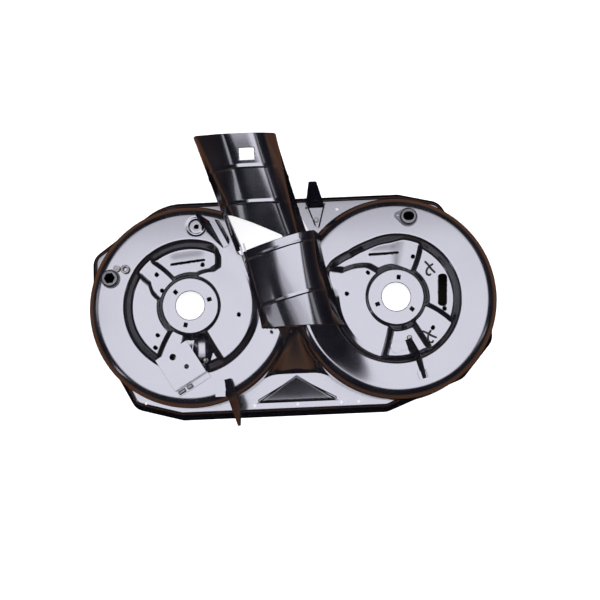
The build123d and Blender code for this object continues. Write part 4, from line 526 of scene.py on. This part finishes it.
def left_ring_height(radius, angle, spot):
    """Left ring: three recesses, a ramp to the rear right, a louvre and a grooved boss on the ring's top."""
    uphill = spot @ np.array([math.cos(math.radians(42.0)), math.sin(math.radians(42.0))]) - 62.0
    land = FLOOR_Z + 12.0 * smooth_step(uphill, -10.0, 112.0)
    top = spoke_side(radius, angle, [(66, 88), (78, 79), (101, 58), (118, 54), (140, 60), (160, 70)], 20.0)
    top = top * (1.0 - spoke_side(radius, angle, [(70, 119.5), (140, 128)], 11.0))
    side = spoke_side(radius, angle, [(72, 168), (99, 158.5), (115, 149.5), (143, 147)], 13.0)
    side = side * (1.0 - spoke_side(radius, angle, [(79, 229.5), (147, 236.5)], 15.0))
    front = spoke_side(radius, angle, [(70, 258), (150, 258)], 16.0)
    front = front * (1.0 - spoke_side(radius, angle, [(70, 296), (150, 298)], 18.0))
    recess = np.maximum(np.maximum(top, side), front)
    turn = (angle + 180.0) % 360.0 - 180.0
    dish = np.linalg.norm((spot - np.array([26.0, -106.0])) / np.array([24.0, 40.0]), axis=-1)
    land = land - 9.0 * front * np.clip(1.0 - dish * dish, 0.0, 1.0)
    wide = smooth_step(-np.abs(turn + 40.0), -55.0, -30.0)
    level = pocket_skin(radius, land, recess, 149.0, 139.5, 164.0 + 9.0 * wide)
    away = np.linalg.norm(spot - np.array([20.3, 192.9]), axis=-1)
    level = level - bead(away - 20.5, 4.2, 2.2)
    return level + louvre(spot, (-5.5, 110.6), 6.0, 98.0, 27.0, 1.2)


def right_ring_height(radius, angle, spot):
    """Right ring: three recesses, the rear one run out to the throat, and the front left sector climbing to it."""
    top = spoke_side(radius, angle, [(70, 86), (140, 85)], 40.0)
    top = top * (1.0 - spoke_side(radius, angle, [(70, 112), (78, 121), (103, 128), (144, 150), (170, 153)], 20.0))
    side = spoke_side(radius, angle, [(75, -14.8), (144, -24.7)], 15.0)
    side = side * (1.0 - spoke_side(radius, angle, [(72, 53), (140, 61)], 15.0))
    front = spoke_side(radius, angle, [(81, 258.5), (149, 256)], 21.0)
    front = front * (1.0 - spoke_side(radius, angle, [(84, 301), (148, 300.6)], 21.0))
    recess = np.maximum(np.maximum(top, side), front)
    around = angle % 360.0
    rim = np.interp(around, [0, 90, 112, 120, 134, 149, 158, 175], [160, 156, 155, 157, 164, 182, 186, 164])
    rim = np.where(around > 175.0, np.interp(around, [175, 240, 360], [164, 164, 160]), rim)
    level = pocket_skin(radius, np.full_like(radius, FLOOR_Z), recess, rim - 15.0, rim - 22.0, rim)
    # Climb: high at the throat's seam, level with the ring at the front
    crest = 43.0 * (1.0 - smooth_step(around, 190.0, 266.0)) * smooth_step(around, 168.0, 190.0)
    share = np.clip((radius - 137.0) / 89.0, 0.0, 1.0)
    soft = smooth_step(around, 205.0, 240.0)
    lean = (1.0 - soft) * share ** 0.9 + soft * share * share * (3.0 - 2.0 * share)
    level = level + crest * lean
    return level + louvre(spot, (-24.0, 111.0), 1.0, 86.0, 25.0, 1.2)


def ring_surface(centre, height):
    """One ring as rows of radius and columns of angle: pocket, level top, a shoulder of three bends, and the wall."""
    angle = np.linspace(0.0, 360.0, RING_COLUMNS + 1)[None, :]
    radius = np.concatenate([
        np.linspace(BORE_RADIUS, POCKET_REACH, POCKET_ROWS), np.linspace(POCKET_REACH, ROLL_START, TOP_ROWS)[1:],
    ])
    run, drop = [], []
    for start, stop, bend in SHOULDER:
        turn = np.radians(np.linspace(start, stop, ROLL_ROWS))
        run.append(np.diff(bend * np.sin(turn)))
        drop.append(np.diff(-bend * np.cos(turn)))
    run, drop = np.cumsum(np.concatenate(run)), np.cumsum(np.concatenate(drop))
    reach = np.concatenate([radius, ROLL_START + run])[:, None]
    fall = np.concatenate([0.0 * radius, drop])[:, None]
    heading = np.radians(angle)
    spot = np.stack([reach * np.cos(heading), reach * np.sin(heading)], -1)
    top = height(reach + 0.0 * angle, angle + 0.0 * reach, spot) - fall
    share = np.linspace(0.0, 1.0, WALL_ROWS)[1:, None]
    wall_reach = reach[-1] + share * (FOOT_RADIUS - reach[-1])
    wall = top[-1:] + share * (FLANGE_Z - 1.0 - top[-1:])
    reach, level = np.concatenate([reach, wall_reach]), np.concatenate([top, wall])
    return np.stack([
        centre[0] + reach * np.cos(heading), centre[1] + reach * np.sin(heading), level
    ], -1)


def square_holes(spot, turn):
    """Distance from the three square holes about a bore."""
    return np.min([
        turned_box(
            spot, (49.0 * math.cos(math.radians(turn + step)), 49.0 * math.sin(math.radians(turn + step))),
            9.2, 9.2, turn + step, 0.6,
        )
        for step in (0.0, 120.0, 240.0)
    ], axis=0)


def round_holes(spot, places, radius):
    """Distance from round holes of one size."""
    return np.min(np.linalg.norm(spot[..., None, :] - np.array(places), axis=-1), axis=-1) - radius


def left_holes(spot):
    """Distance from every hole of the left pocket and its boss."""
    pins = [(31, 101.5), (-80.4, 80), (-68.3, 39.8), (-82.8, -67.9), (-89.1, -98), (116.6, -26.8)]
    return np.min([
        square_holes(spot, 15.5), round_holes(spot, pins, 4.4), round_holes(spot, [(20.3, 192.9)], 5.0),
        round_holes(spot, [(-190.2, 72.1)], 14.0), turned_box(spot, (-5.3, 109.0), 84.0, 3.6, 6.0, 1.7),
    ], axis=0)


def right_holes(spot):
    """Distance from every hole of the right pocket."""
    pins = [(-64.6, 62.9), (-118.3, 13.5), (118, -32), (85.4, -78.4), (47.4, 97.7)]
    return np.min([
        square_holes(spot, 79.5), round_holes(spot, pins, 4.4), turned_box(spot, (116, 14), 20.0, 78.0, -4.0, 8.0),
        round_holes(spot, [(39.3, 193.9)], 14.0), turned_box(spot, (-24.0, 109.4), 72.0, 3.6, 1.0, 1.7),
    ], axis=0)


def cut_to(points, centre, distance, widest):
    """Draws points within half a cell of an edge onto it, at their own height; no cell counts wider than given."""
    spot = points[..., :2] - centre
    cell = np.minimum(widest, np.linalg.norm(spot, axis=-1) * 2.0 * np.pi / RING_COLUMNS)
    shift = onto_edge(spot, distance, 0.48 * cell)
    return np.concatenate([points[..., :2] + shift, points[..., 2:]], -1)


for name, centre, height, holes in (
    ("left_ring_pressing", LEFT_SPINDLE, left_ring_height, left_holes),
    ("right_ring_pressing", RIGHT_SPINDLE, right_ring_height, right_holes),
):
    points = ring_surface(centre, height)
    shape = points.shape[:2]
    points = cut_to(points.reshape(-1, 3), centre, holes, HOLE_CELL)
    points = cut_to(points, centre, lambda spot: polygon_distance(spot + centre, THROAT), THROAT_CELL)
    faces = grid_faces(*shape)[:, ::-1]
    middle_of = points[faces].mean(1)
    kept = (holes(middle_of[:, :2] - centre) > 0.0) & (polygon_distance(middle_of[:, :2], THROAT) > 0.0)
    ring_piece = stand_in(name, points, faces[kept], "deck_shell", "deck_enamel")
    sheet_wall(ring_piece, SHEET)

# Hump: the lowest of an eased front wall, a left flank and a level top, rounded where they meet
HUMP_ROWS, HUMP_COLUMNS = 61, 91
HUMP_LEFT, HUMP_RIGHT, HUMP_REAR, HUMP_FRONT = -112.0, 66.0, -62.5, -196.0
HUMP_FOOT, HUMP_TOP = -173.0, 151.0
FOOT_SWEEP, SWEEP_FADE = 10.0, 6.0


def round_min(one, two, rounding):
    """The lower of two heights with the corner between them rounded."""
    over = np.clip(rounding - np.abs(one - two), 0.0, None)
    return np.minimum(one, two) - over * over / (4.0 * rounding)


share, hump_y = np.meshgrid(np.linspace(0.0, 1.0, HUMP_COLUMNS), np.linspace(HUMP_REAR, HUMP_FRONT, HUMP_ROWS))
hump_right = HUMP_RIGHT + 0.6 * np.clip(-140.0 - hump_y, 0.0, None)
hump_x = HUMP_LEFT + share * (hump_right - HUMP_LEFT)
# The front wall is steepest at its foot and eases to the top; near a ring its foot sweeps forward
outside = np.hypot(np.abs(hump_x) - RIGHT_SPINDLE[0], hump_y) - FOOT_RADIUS
front_run = hump_y - HUMP_FOOT + FOOT_SWEEP * np.exp(-np.clip(outside, 0.0, None) / SWEEP_FADE)
front_wall = FLANGE_Z + 1.04 * front_run - 0.0009 * front_run * np.abs(front_run)
left_flank = RING_Z + 0.8 * (hump_x + 40.0 + 0.55 * (hump_y + 64.0))
hump_z = round_min(round_min(front_wall, HUMP_TOP, 26.0), np.maximum(left_flank, 60.0), 14.0)
# At the seam the hump closes the space below the chute's front edge
hump_z[0] = np.interp(hump_x[0], seam[:, 0], seam[:, 2] - 1.5)
hump = stand_in(
    "hump_pressing", np.stack([hump_x, hump_y, np.maximum(hump_z, FLANGE_Z - 1.0)], -1),
    grid_faces(HUMP_ROWS, HUMP_COLUMNS)[:, ::-1], "deck_shell", "deck_enamel",
)
sheet_wall(hump, SHEET)

# Skirt and flange: the solid's own faces below the rings, merged

def below_rings(work):
    """Takes off every face whose middle is above the flange."""
    above = [f for f in work.faces if f.calc_center_median().z > (FLANGE_Z + 1.0) * MM]
    bmesh.ops.delete(work, geom=above, context="FACES")


own_mesh("deck_shell", "skirt_and_flange", "deck_enamel", 24.0, below_rings)

# Front panel: the flange inside the pressed triangle rises towards its rear corner as a power of the distance
PANEL_REAR, PANEL_FRONT, PANEL_HALF, PANEL_RISE = -177.0, -243.0, 101.0, 12.0
PANEL_ROWS, PANEL_COLUMNS = 57, 121
share, across = np.meshgrid(np.linspace(0.0, 1.0, PANEL_ROWS), np.linspace(-1.0, 1.0, PANEL_COLUMNS), indexing="ij")
half = PANEL_HALF * (1.0 - share) + 1.0
edge = smooth_step((1.0 - np.abs(across)) * half, 0.0, 8.0) * smooth_step(share, 0.0, 0.1)
panel = np.stack([
    half * across, PANEL_FRONT + share * (PANEL_REAR - PANEL_FRONT),
    FLANGE_Z + 0.05 + edge * (2.4 + PANEL_RISE * share ** 1.3),
], -1)
faces = grid_faces(PANEL_ROWS, PANEL_COLUMNS)
front_panel = stand_in("front_panel_pressing", panel, faces, "deck_shell", "deck_enamel")
sheet_wall(front_panel, SHEET)


def wire(path, thick, count):
    """Round wire along a path: a ring of points about each place, drawn together to a point at both ends."""
    path = np.asarray(path, float)
    length = np.concatenate([[0.0], np.cumsum(np.linalg.norm(np.diff(path, axis=0), axis=1))])
    want = np.linspace(0.0, length[-1], count)
    line = np.stack([np.interp(want, length, path[:, i]) for i in range(3)], 1)
    blur = np.stack([np.convolve(np.pad(line[:, i], 2, mode="edge"), np.full(5, 0.2), "valid") for i in range(3)], 1)
    along = np.gradient(blur, axis=0)
    along /= np.linalg.norm(along, axis=1, keepdims=True)
    side = np.cross(along, [0.0, 0.0, 1.0])
    side /= np.linalg.norm(side, axis=1, keepdims=True)
    upward = np.cross(side, along)
    turn = np.linspace(0.0, 2.0 * np.pi, WIRE_SIDES)[None, :, None]
    size = thick * np.sqrt(np.clip(np.minimum(want, length[-1] - want) / thick, 0.0, 1.0))[:, None, None]
    return blur[:, None] + size * (np.cos(turn) * side[:, None] + np.sin(turn) * upward[:, None])


# Spring clips: a straight wire and a bent one hooked at its end, crossing, two alike
WIRE_RADIUS, WIRE_POINTS, WIRE_SIDES = 2.3, 60, 13
STRAIGHT = [(-12, 17, 1.9), (-4, 8, 2.2), (4, -4, 2.2), (13, -14, 1.9)]
HOOKED = [(9, 9, 3.6), (2, 5, 4.4), (-6, -2, 4.0), (-9, -9, 3.0), (-8, -16, 2.4), (-2, -19, 2.0), (3, -15, 2.0)]
pieces, cells = [], []
for x, y, floor, turn in ((338.0, 70.0, RECESS_Z, 0.0), (326.0, -96.0, FLOOR_Z, 24.0)):
    lean = math.radians(turn)
    spin = np.array([[math.cos(lean), math.sin(lean), 0], [-math.sin(lean), math.cos(lean), 0], [0, 0, 1]])
    for path in (STRAIGHT, HOOKED):
        cells.append(grid_faces(WIRE_POINTS, WIRE_SIDES) + sum(len(p) for p in pieces))
        pieces.append((wire(path, WIRE_RADIUS, WIRE_POINTS) @ spin + np.array([x, y, floor])).reshape(-1, 3))
clips = stand_in("spring_clip_wires", np.concatenate(pieces), np.concatenate(cells), "spring_clips", "plated_steel")
clips.data.materials[0] = spring_wire


EDGE_ROUND = 1.1
SHARP_ANGLE = 28.0


def plain_faces(work):
    """Joins the triangles of each plane face."""
    bmesh.ops.dissolve_limit(work, angle_limit=math.radians(0.4), verts=work.verts, edges=work.edges)


def softened(node, slot):
    """A CAD piece with its sharp edges rounded: its own mesh, merged, with a bevel where faces meet at an angle."""
    piece = own_mesh(node, node + "_soft", slot, SHARP_ANGLE, plain_faces)
    bevel = piece.modifiers.new("round", "BEVEL")
    bevel.width = EDGE_ROUND * MM
    bevel.segments = 3
    bevel.limit_method = "ANGLE"
    bevel.angle_limit = math.radians(SHARP_ANGLE)
    bevel.harden_normals = True


for part in frame["record"]["subparts"]:
    if part["node"] not in ("deck_shell", "lower_chute", "upper_chute", "spring_clips"):
        softened(part["node"], part["material_slot"])

# CAD nodes that stay take their slot's finish
for part in frame["record"]["subparts"]:
    if part["node"] in nodes:
        mesh = nodes[part["node"]].data
        mesh.materials.clear()
        mesh.materials.append(FINISHES[part["material_slot"]])

# Camera: almost straight above, a little to the front, 2 m away
TARGET = Vector((0.01673, 0.00321, 0.100))
TILT = math.radians(7.0)
ROLL = math.radians(2.45)
REACH = 2.0
FOCAL_PX = 820.0
PICTURE_PX = 600.0
back = Vector((0.0, -math.sin(TILT), math.cos(TILT)))
right = Vector((1.0, 0.0, 0.0))
up = back.cross(right)
camera_right = right * math.cos(ROLL) - up * math.sin(ROLL)
camera_up = right * math.sin(ROLL) + up * math.cos(ROLL)
camera_data = bpy.data.cameras.new("camera")
camera_data.lens = camera_data.sensor_width * FOCAL_PX / PICTURE_PX
camera = bpy.data.objects.new("camera", camera_data)
bpy.context.scene.collection.objects.link(camera)
turn = Matrix((camera_right, camera_up, back)).transposed().to_4x4()
camera.matrix_world = Matrix.Translation(TARGET + back * REACH) @ turn
bpy.context.scene.camera = camera


# Studio

def softbox(name, centre, aim, wide, tall, radiance, colour):
    """A rectangular studio light that faces a point, as bright as its radiance says."""
    data = bpy.data.lights.new(name, "AREA")
    data.shape = "RECTANGLE"
    data.size = wide
    data.size_y = tall
    data.energy = radiance * math.pi * wide * tall
    data.color = linear(colour)[:3]
    lamp = bpy.data.objects.new(name, data)
    bpy.context.scene.collection.objects.link(lamp)
    lamp.location = centre
    lamp.rotation_euler = (Vector(aim) - Vector(centre)).to_track_quat("-Z", "Y").to_euler()
    lamp.visible_camera = False
    return lamp


# One big diffuser, brightest in the middle: three layers, each a little larger than the one below it
softbox("overhead_middle", (0.0, 0.0, 3.0), (0.0, 0.0, 0.0), 2.7, 1.56, 3.6, "#f1f0ff")
softbox("overhead_panel", (0.0, 0.215, 3.02), (0.0, 0.215, 0.0), 3.0, 2.29, 3.0, "#f1f0ff")
softbox("overhead_edge", (0.0, 0.2, 3.04), (0.0, 0.2, 0.0), 3.4, 2.5, 1.9, "#f1f0ff")
# A softbox and two strips at the sides draw the streaks along bent edges
softbox("left_softbox", (-2.35, 0.5, 2.8), (0.0, 0.1, 0.15), 0.5, 1.0, 3.0, "#f1f0ff")
softbox("left_strip", (-2.3, -1.2, 1.7), (0.0, 0.2, 0.2), 0.25, 1.2, 4.0, "#f2f2ff")
softbox("right_strip", (2.35, -0.5, 2.5), (0.0, 0.2, 0.2), 0.3, 1.4, 2.5, "#f2f2ff")


def stage_sheet(name, points, faces, material, only_reflected):
    """A stage surface from points in metres; a reflected one is seen only in the gloss of the object."""
    mesh = bpy.data.meshes.new(name)
    mesh.from_pydata(np.asarray(points, float).tolist(), [], np.asarray(faces).tolist())
    mesh.materials.append(material)
    sheet = bpy.data.objects.new(name, mesh)
    bpy.context.scene.collection.objects.link(sheet)
    if only_reflected:
        sheet.visible_camera = False
        sheet.visible_diffuse = False
        sheet.visible_transmission = False
        sheet.visible_shadow = False
    return sheet


def white_where_seen(tree):
    """1 for rays from the camera, from gloss and through clear pieces, 0 for light that spreads."""
    path = add(tree, "ShaderNodeLightPath")
    seen = add(
        tree, "ShaderNodeMath",
        {0: path.outputs["Is Camera Ray"], 1: path.outputs["Is Glossy Ray"]}, operation="MAXIMUM",
    )
    seen = add(
        tree, "ShaderNodeMath",
        {0: seen.outputs[0], 1: path.outputs["Is Transmission Ray"]}, operation="MAXIMUM",
    )
    return seen.outputs[0]


FLOOR_GLOW = 0.86
paper, tree = empty_material("white_paper_sweep")
base = add(tree, "ShaderNodeBsdfDiffuse", {"Color": linear("#b4b4b6")})
share = add(tree, "ShaderNodeMath", {0: white_where_seen(tree), 1: FLOOR_GLOW}, operation="MULTIPLY")
glow = add(tree, "ShaderNodeEmission", {"Color": (1, 1, 1, 1), "Strength": share.outputs[0]})
both = add(tree, "ShaderNodeAddShader", {0: base.outputs[0], 1: glow.outputs[0]})
add(tree, "ShaderNodeOutputMaterial", {"Surface": both.outputs[0]})
stage_sheet("floor", [(-8, -8, 0), (8, -8, 0), (8, 8, 0), (-8, 8, 0)], [(0, 1, 2, 3)], paper, False)

# Painted shade: a dark sheet on the floor inside the deck stands for its shadow, left out below the spindle bores and
# the throat
SHADE_AT, SHADE_INNER, SHADE_OUTER = (0.265, 0.0134), 0.044, 0.238
SHADE_ROWS, SHADE_COLUMNS = 21, 97
shade, tree = empty_material("painted_shade_under_the_deck")
# Painted shade: a dark diffuse colour in place of the floor that lies in the deck's shadow
base = add(tree, "ShaderNodeBsdfDiffuse", {"Color": linear("#26221f")})
add(tree, "ShaderNodeOutputMaterial", {"Surface": base.outputs[0]})
for side in (-1.0, 1.0):
    ring = np.linspace(0.0, 2.0 * np.pi, SHADE_COLUMNS)
    reach = np.linspace(SHADE_INNER, SHADE_OUTER, SHADE_ROWS)[:, None]
    patch = np.stack([
        side * SHADE_AT[0] + reach * np.cos(ring), SHADE_AT[1] + reach * np.sin(ring),
        np.full((SHADE_ROWS, SHADE_COLUMNS), 0.001),
    ], -1).reshape(-1, 3)
    cells = grid_faces(SHADE_ROWS, SHADE_COLUMNS)
    middle_of = patch[cells].mean(1)
    clear = ~((middle_of[:, 0] > -0.205) & (middle_of[:, 0] < 0.1) & (middle_of[:, 1] > 0.085))
    stage_sheet("painted_floor_shade_" + ("right" if side > 0 else "left"), patch, cells[clear], shade, False)

# Ground cloth and curtain around the studio, seen only in the gloss: the cloth is dark near the deck as a painted
# shadow, brown further out
CLOTH_PAINTED_SHADOW_REACH, CLOTH_BROWN = 0.395, 0.52
cloth, tree = empty_material("brown_ground_cloth")
where = add(tree, "ShaderNodeTexCoord").outputs["Object"]
flat_place = add(tree, "ShaderNodeVectorMath", {0: where, 1: (0.72, 1.0, 0.0)}, operation="MULTIPLY")
far = add(tree, "ShaderNodeVectorMath", {0: flat_place.outputs[0]}, operation="LENGTH")
out = add(tree, "ShaderNodeMapRange", {"Value": far.outputs["Value"], "From Min": CLOTH_PAINTED_SHADOW_REACH, "From Max": CLOTH_BROWN})
tone = add(tree, "ShaderNodeValToRGB", {"Fac": out.outputs["Result"]})
# Painted shadow: the cloth is near black close to the deck
tone.color_ramp.elements[0].color = linear("#0c0b0c")
tone.color_ramp.elements[1].color = linear("#a87250")
glow = add(tree, "ShaderNodeEmission", {"Color": tone.outputs["Color"], "Strength": 1.0})
add(tree, "ShaderNodeOutputMaterial", {"Surface": glow.outputs[0]})
stage_sheet(
    "ground_cloth", [(-6, -6, 0.0005), (6, -6, 0.0005), (6, 6, 0.0005), (-6, 6, 0.0005)], [(0, 1, 2, 3)], cloth, True
)
CURTAIN_RADIUS, CURTAIN_HEIGHT, CURTAIN_COLUMNS = 3.4, 3.6, 65
ring = np.linspace(0.0, 2.0 * np.pi, CURTAIN_COLUMNS)
level = np.linspace(0.0, CURTAIN_HEIGHT, 2)[:, None]
drape = np.stack(
    [CURTAIN_RADIUS * np.cos(ring) + 0 * level, CURTAIN_RADIUS * np.sin(ring) + 0 * level, level + 0 * ring], -1
).reshape(-1, 3)
curtain, tree = empty_material("brown_curtain")
where = add(tree, "ShaderNodeTexCoord")
split = add(tree, "ShaderNodeSeparateXYZ", {"Vector": where.outputs["Object"]})
rise = add(tree, "ShaderNodeMapRange", {"Value": split.outputs["Z"], "From Min": 0.0, "From Max": 3.0})
tone = add(tree, "ShaderNodeValToRGB", {"Fac": rise.outputs["Result"]})
tone.color_ramp.elements[0].color = linear("#d8a583")
tone.color_ramp.elements[1].color = linear("#17130f")
tone.color_ramp.elements.new(0.16).color = linear("#6a5546")
tone.color_ramp.elements.new(0.42).color = linear("#1a1614")
glow = add(tree, "ShaderNodeEmission", {"Color": tone.outputs["Color"], "Strength": 1.0})
add(tree, "ShaderNodeOutputMaterial", {"Surface": glow.outputs[0]})
stage_sheet("curtain", drape, grid_faces(2, CURTAIN_COLUMNS), curtain, True)
lid, tree = empty_material("dark_ceiling")
glow = add(tree, "ShaderNodeEmission", {"Color": linear("#121217"), "Strength": 1.0})
add(tree, "ShaderNodeOutputMaterial", {"Surface": glow.outputs[0]})
stage_sheet(
    "ceiling", [(-4, -4, 3.5), (-4, 4, 3.5), (4, 4, 3.5), (4, -4, 3.5)], [(0, 1, 2, 3)], lid, True
)

world = bpy.data.worlds.new("studio")
bpy.context.scene.world = world
world.use_nodes = True
tree = world.node_tree
tree.nodes.clear()
sky = add(tree, "ShaderNodeMix", {0: white_where_seen(tree), 6: linear("#3a3a42"), 7: (1, 1, 1, 1)}, data_type="RGBA")
light = add(tree, "ShaderNodeBackground", {"Color": sky.outputs[2], "Strength": 1.0})
add(tree, "ShaderNodeOutputWorld", {"Surface": light.outputs[0]})

bpy.context.scene.view_settings.view_transform = "Standard"
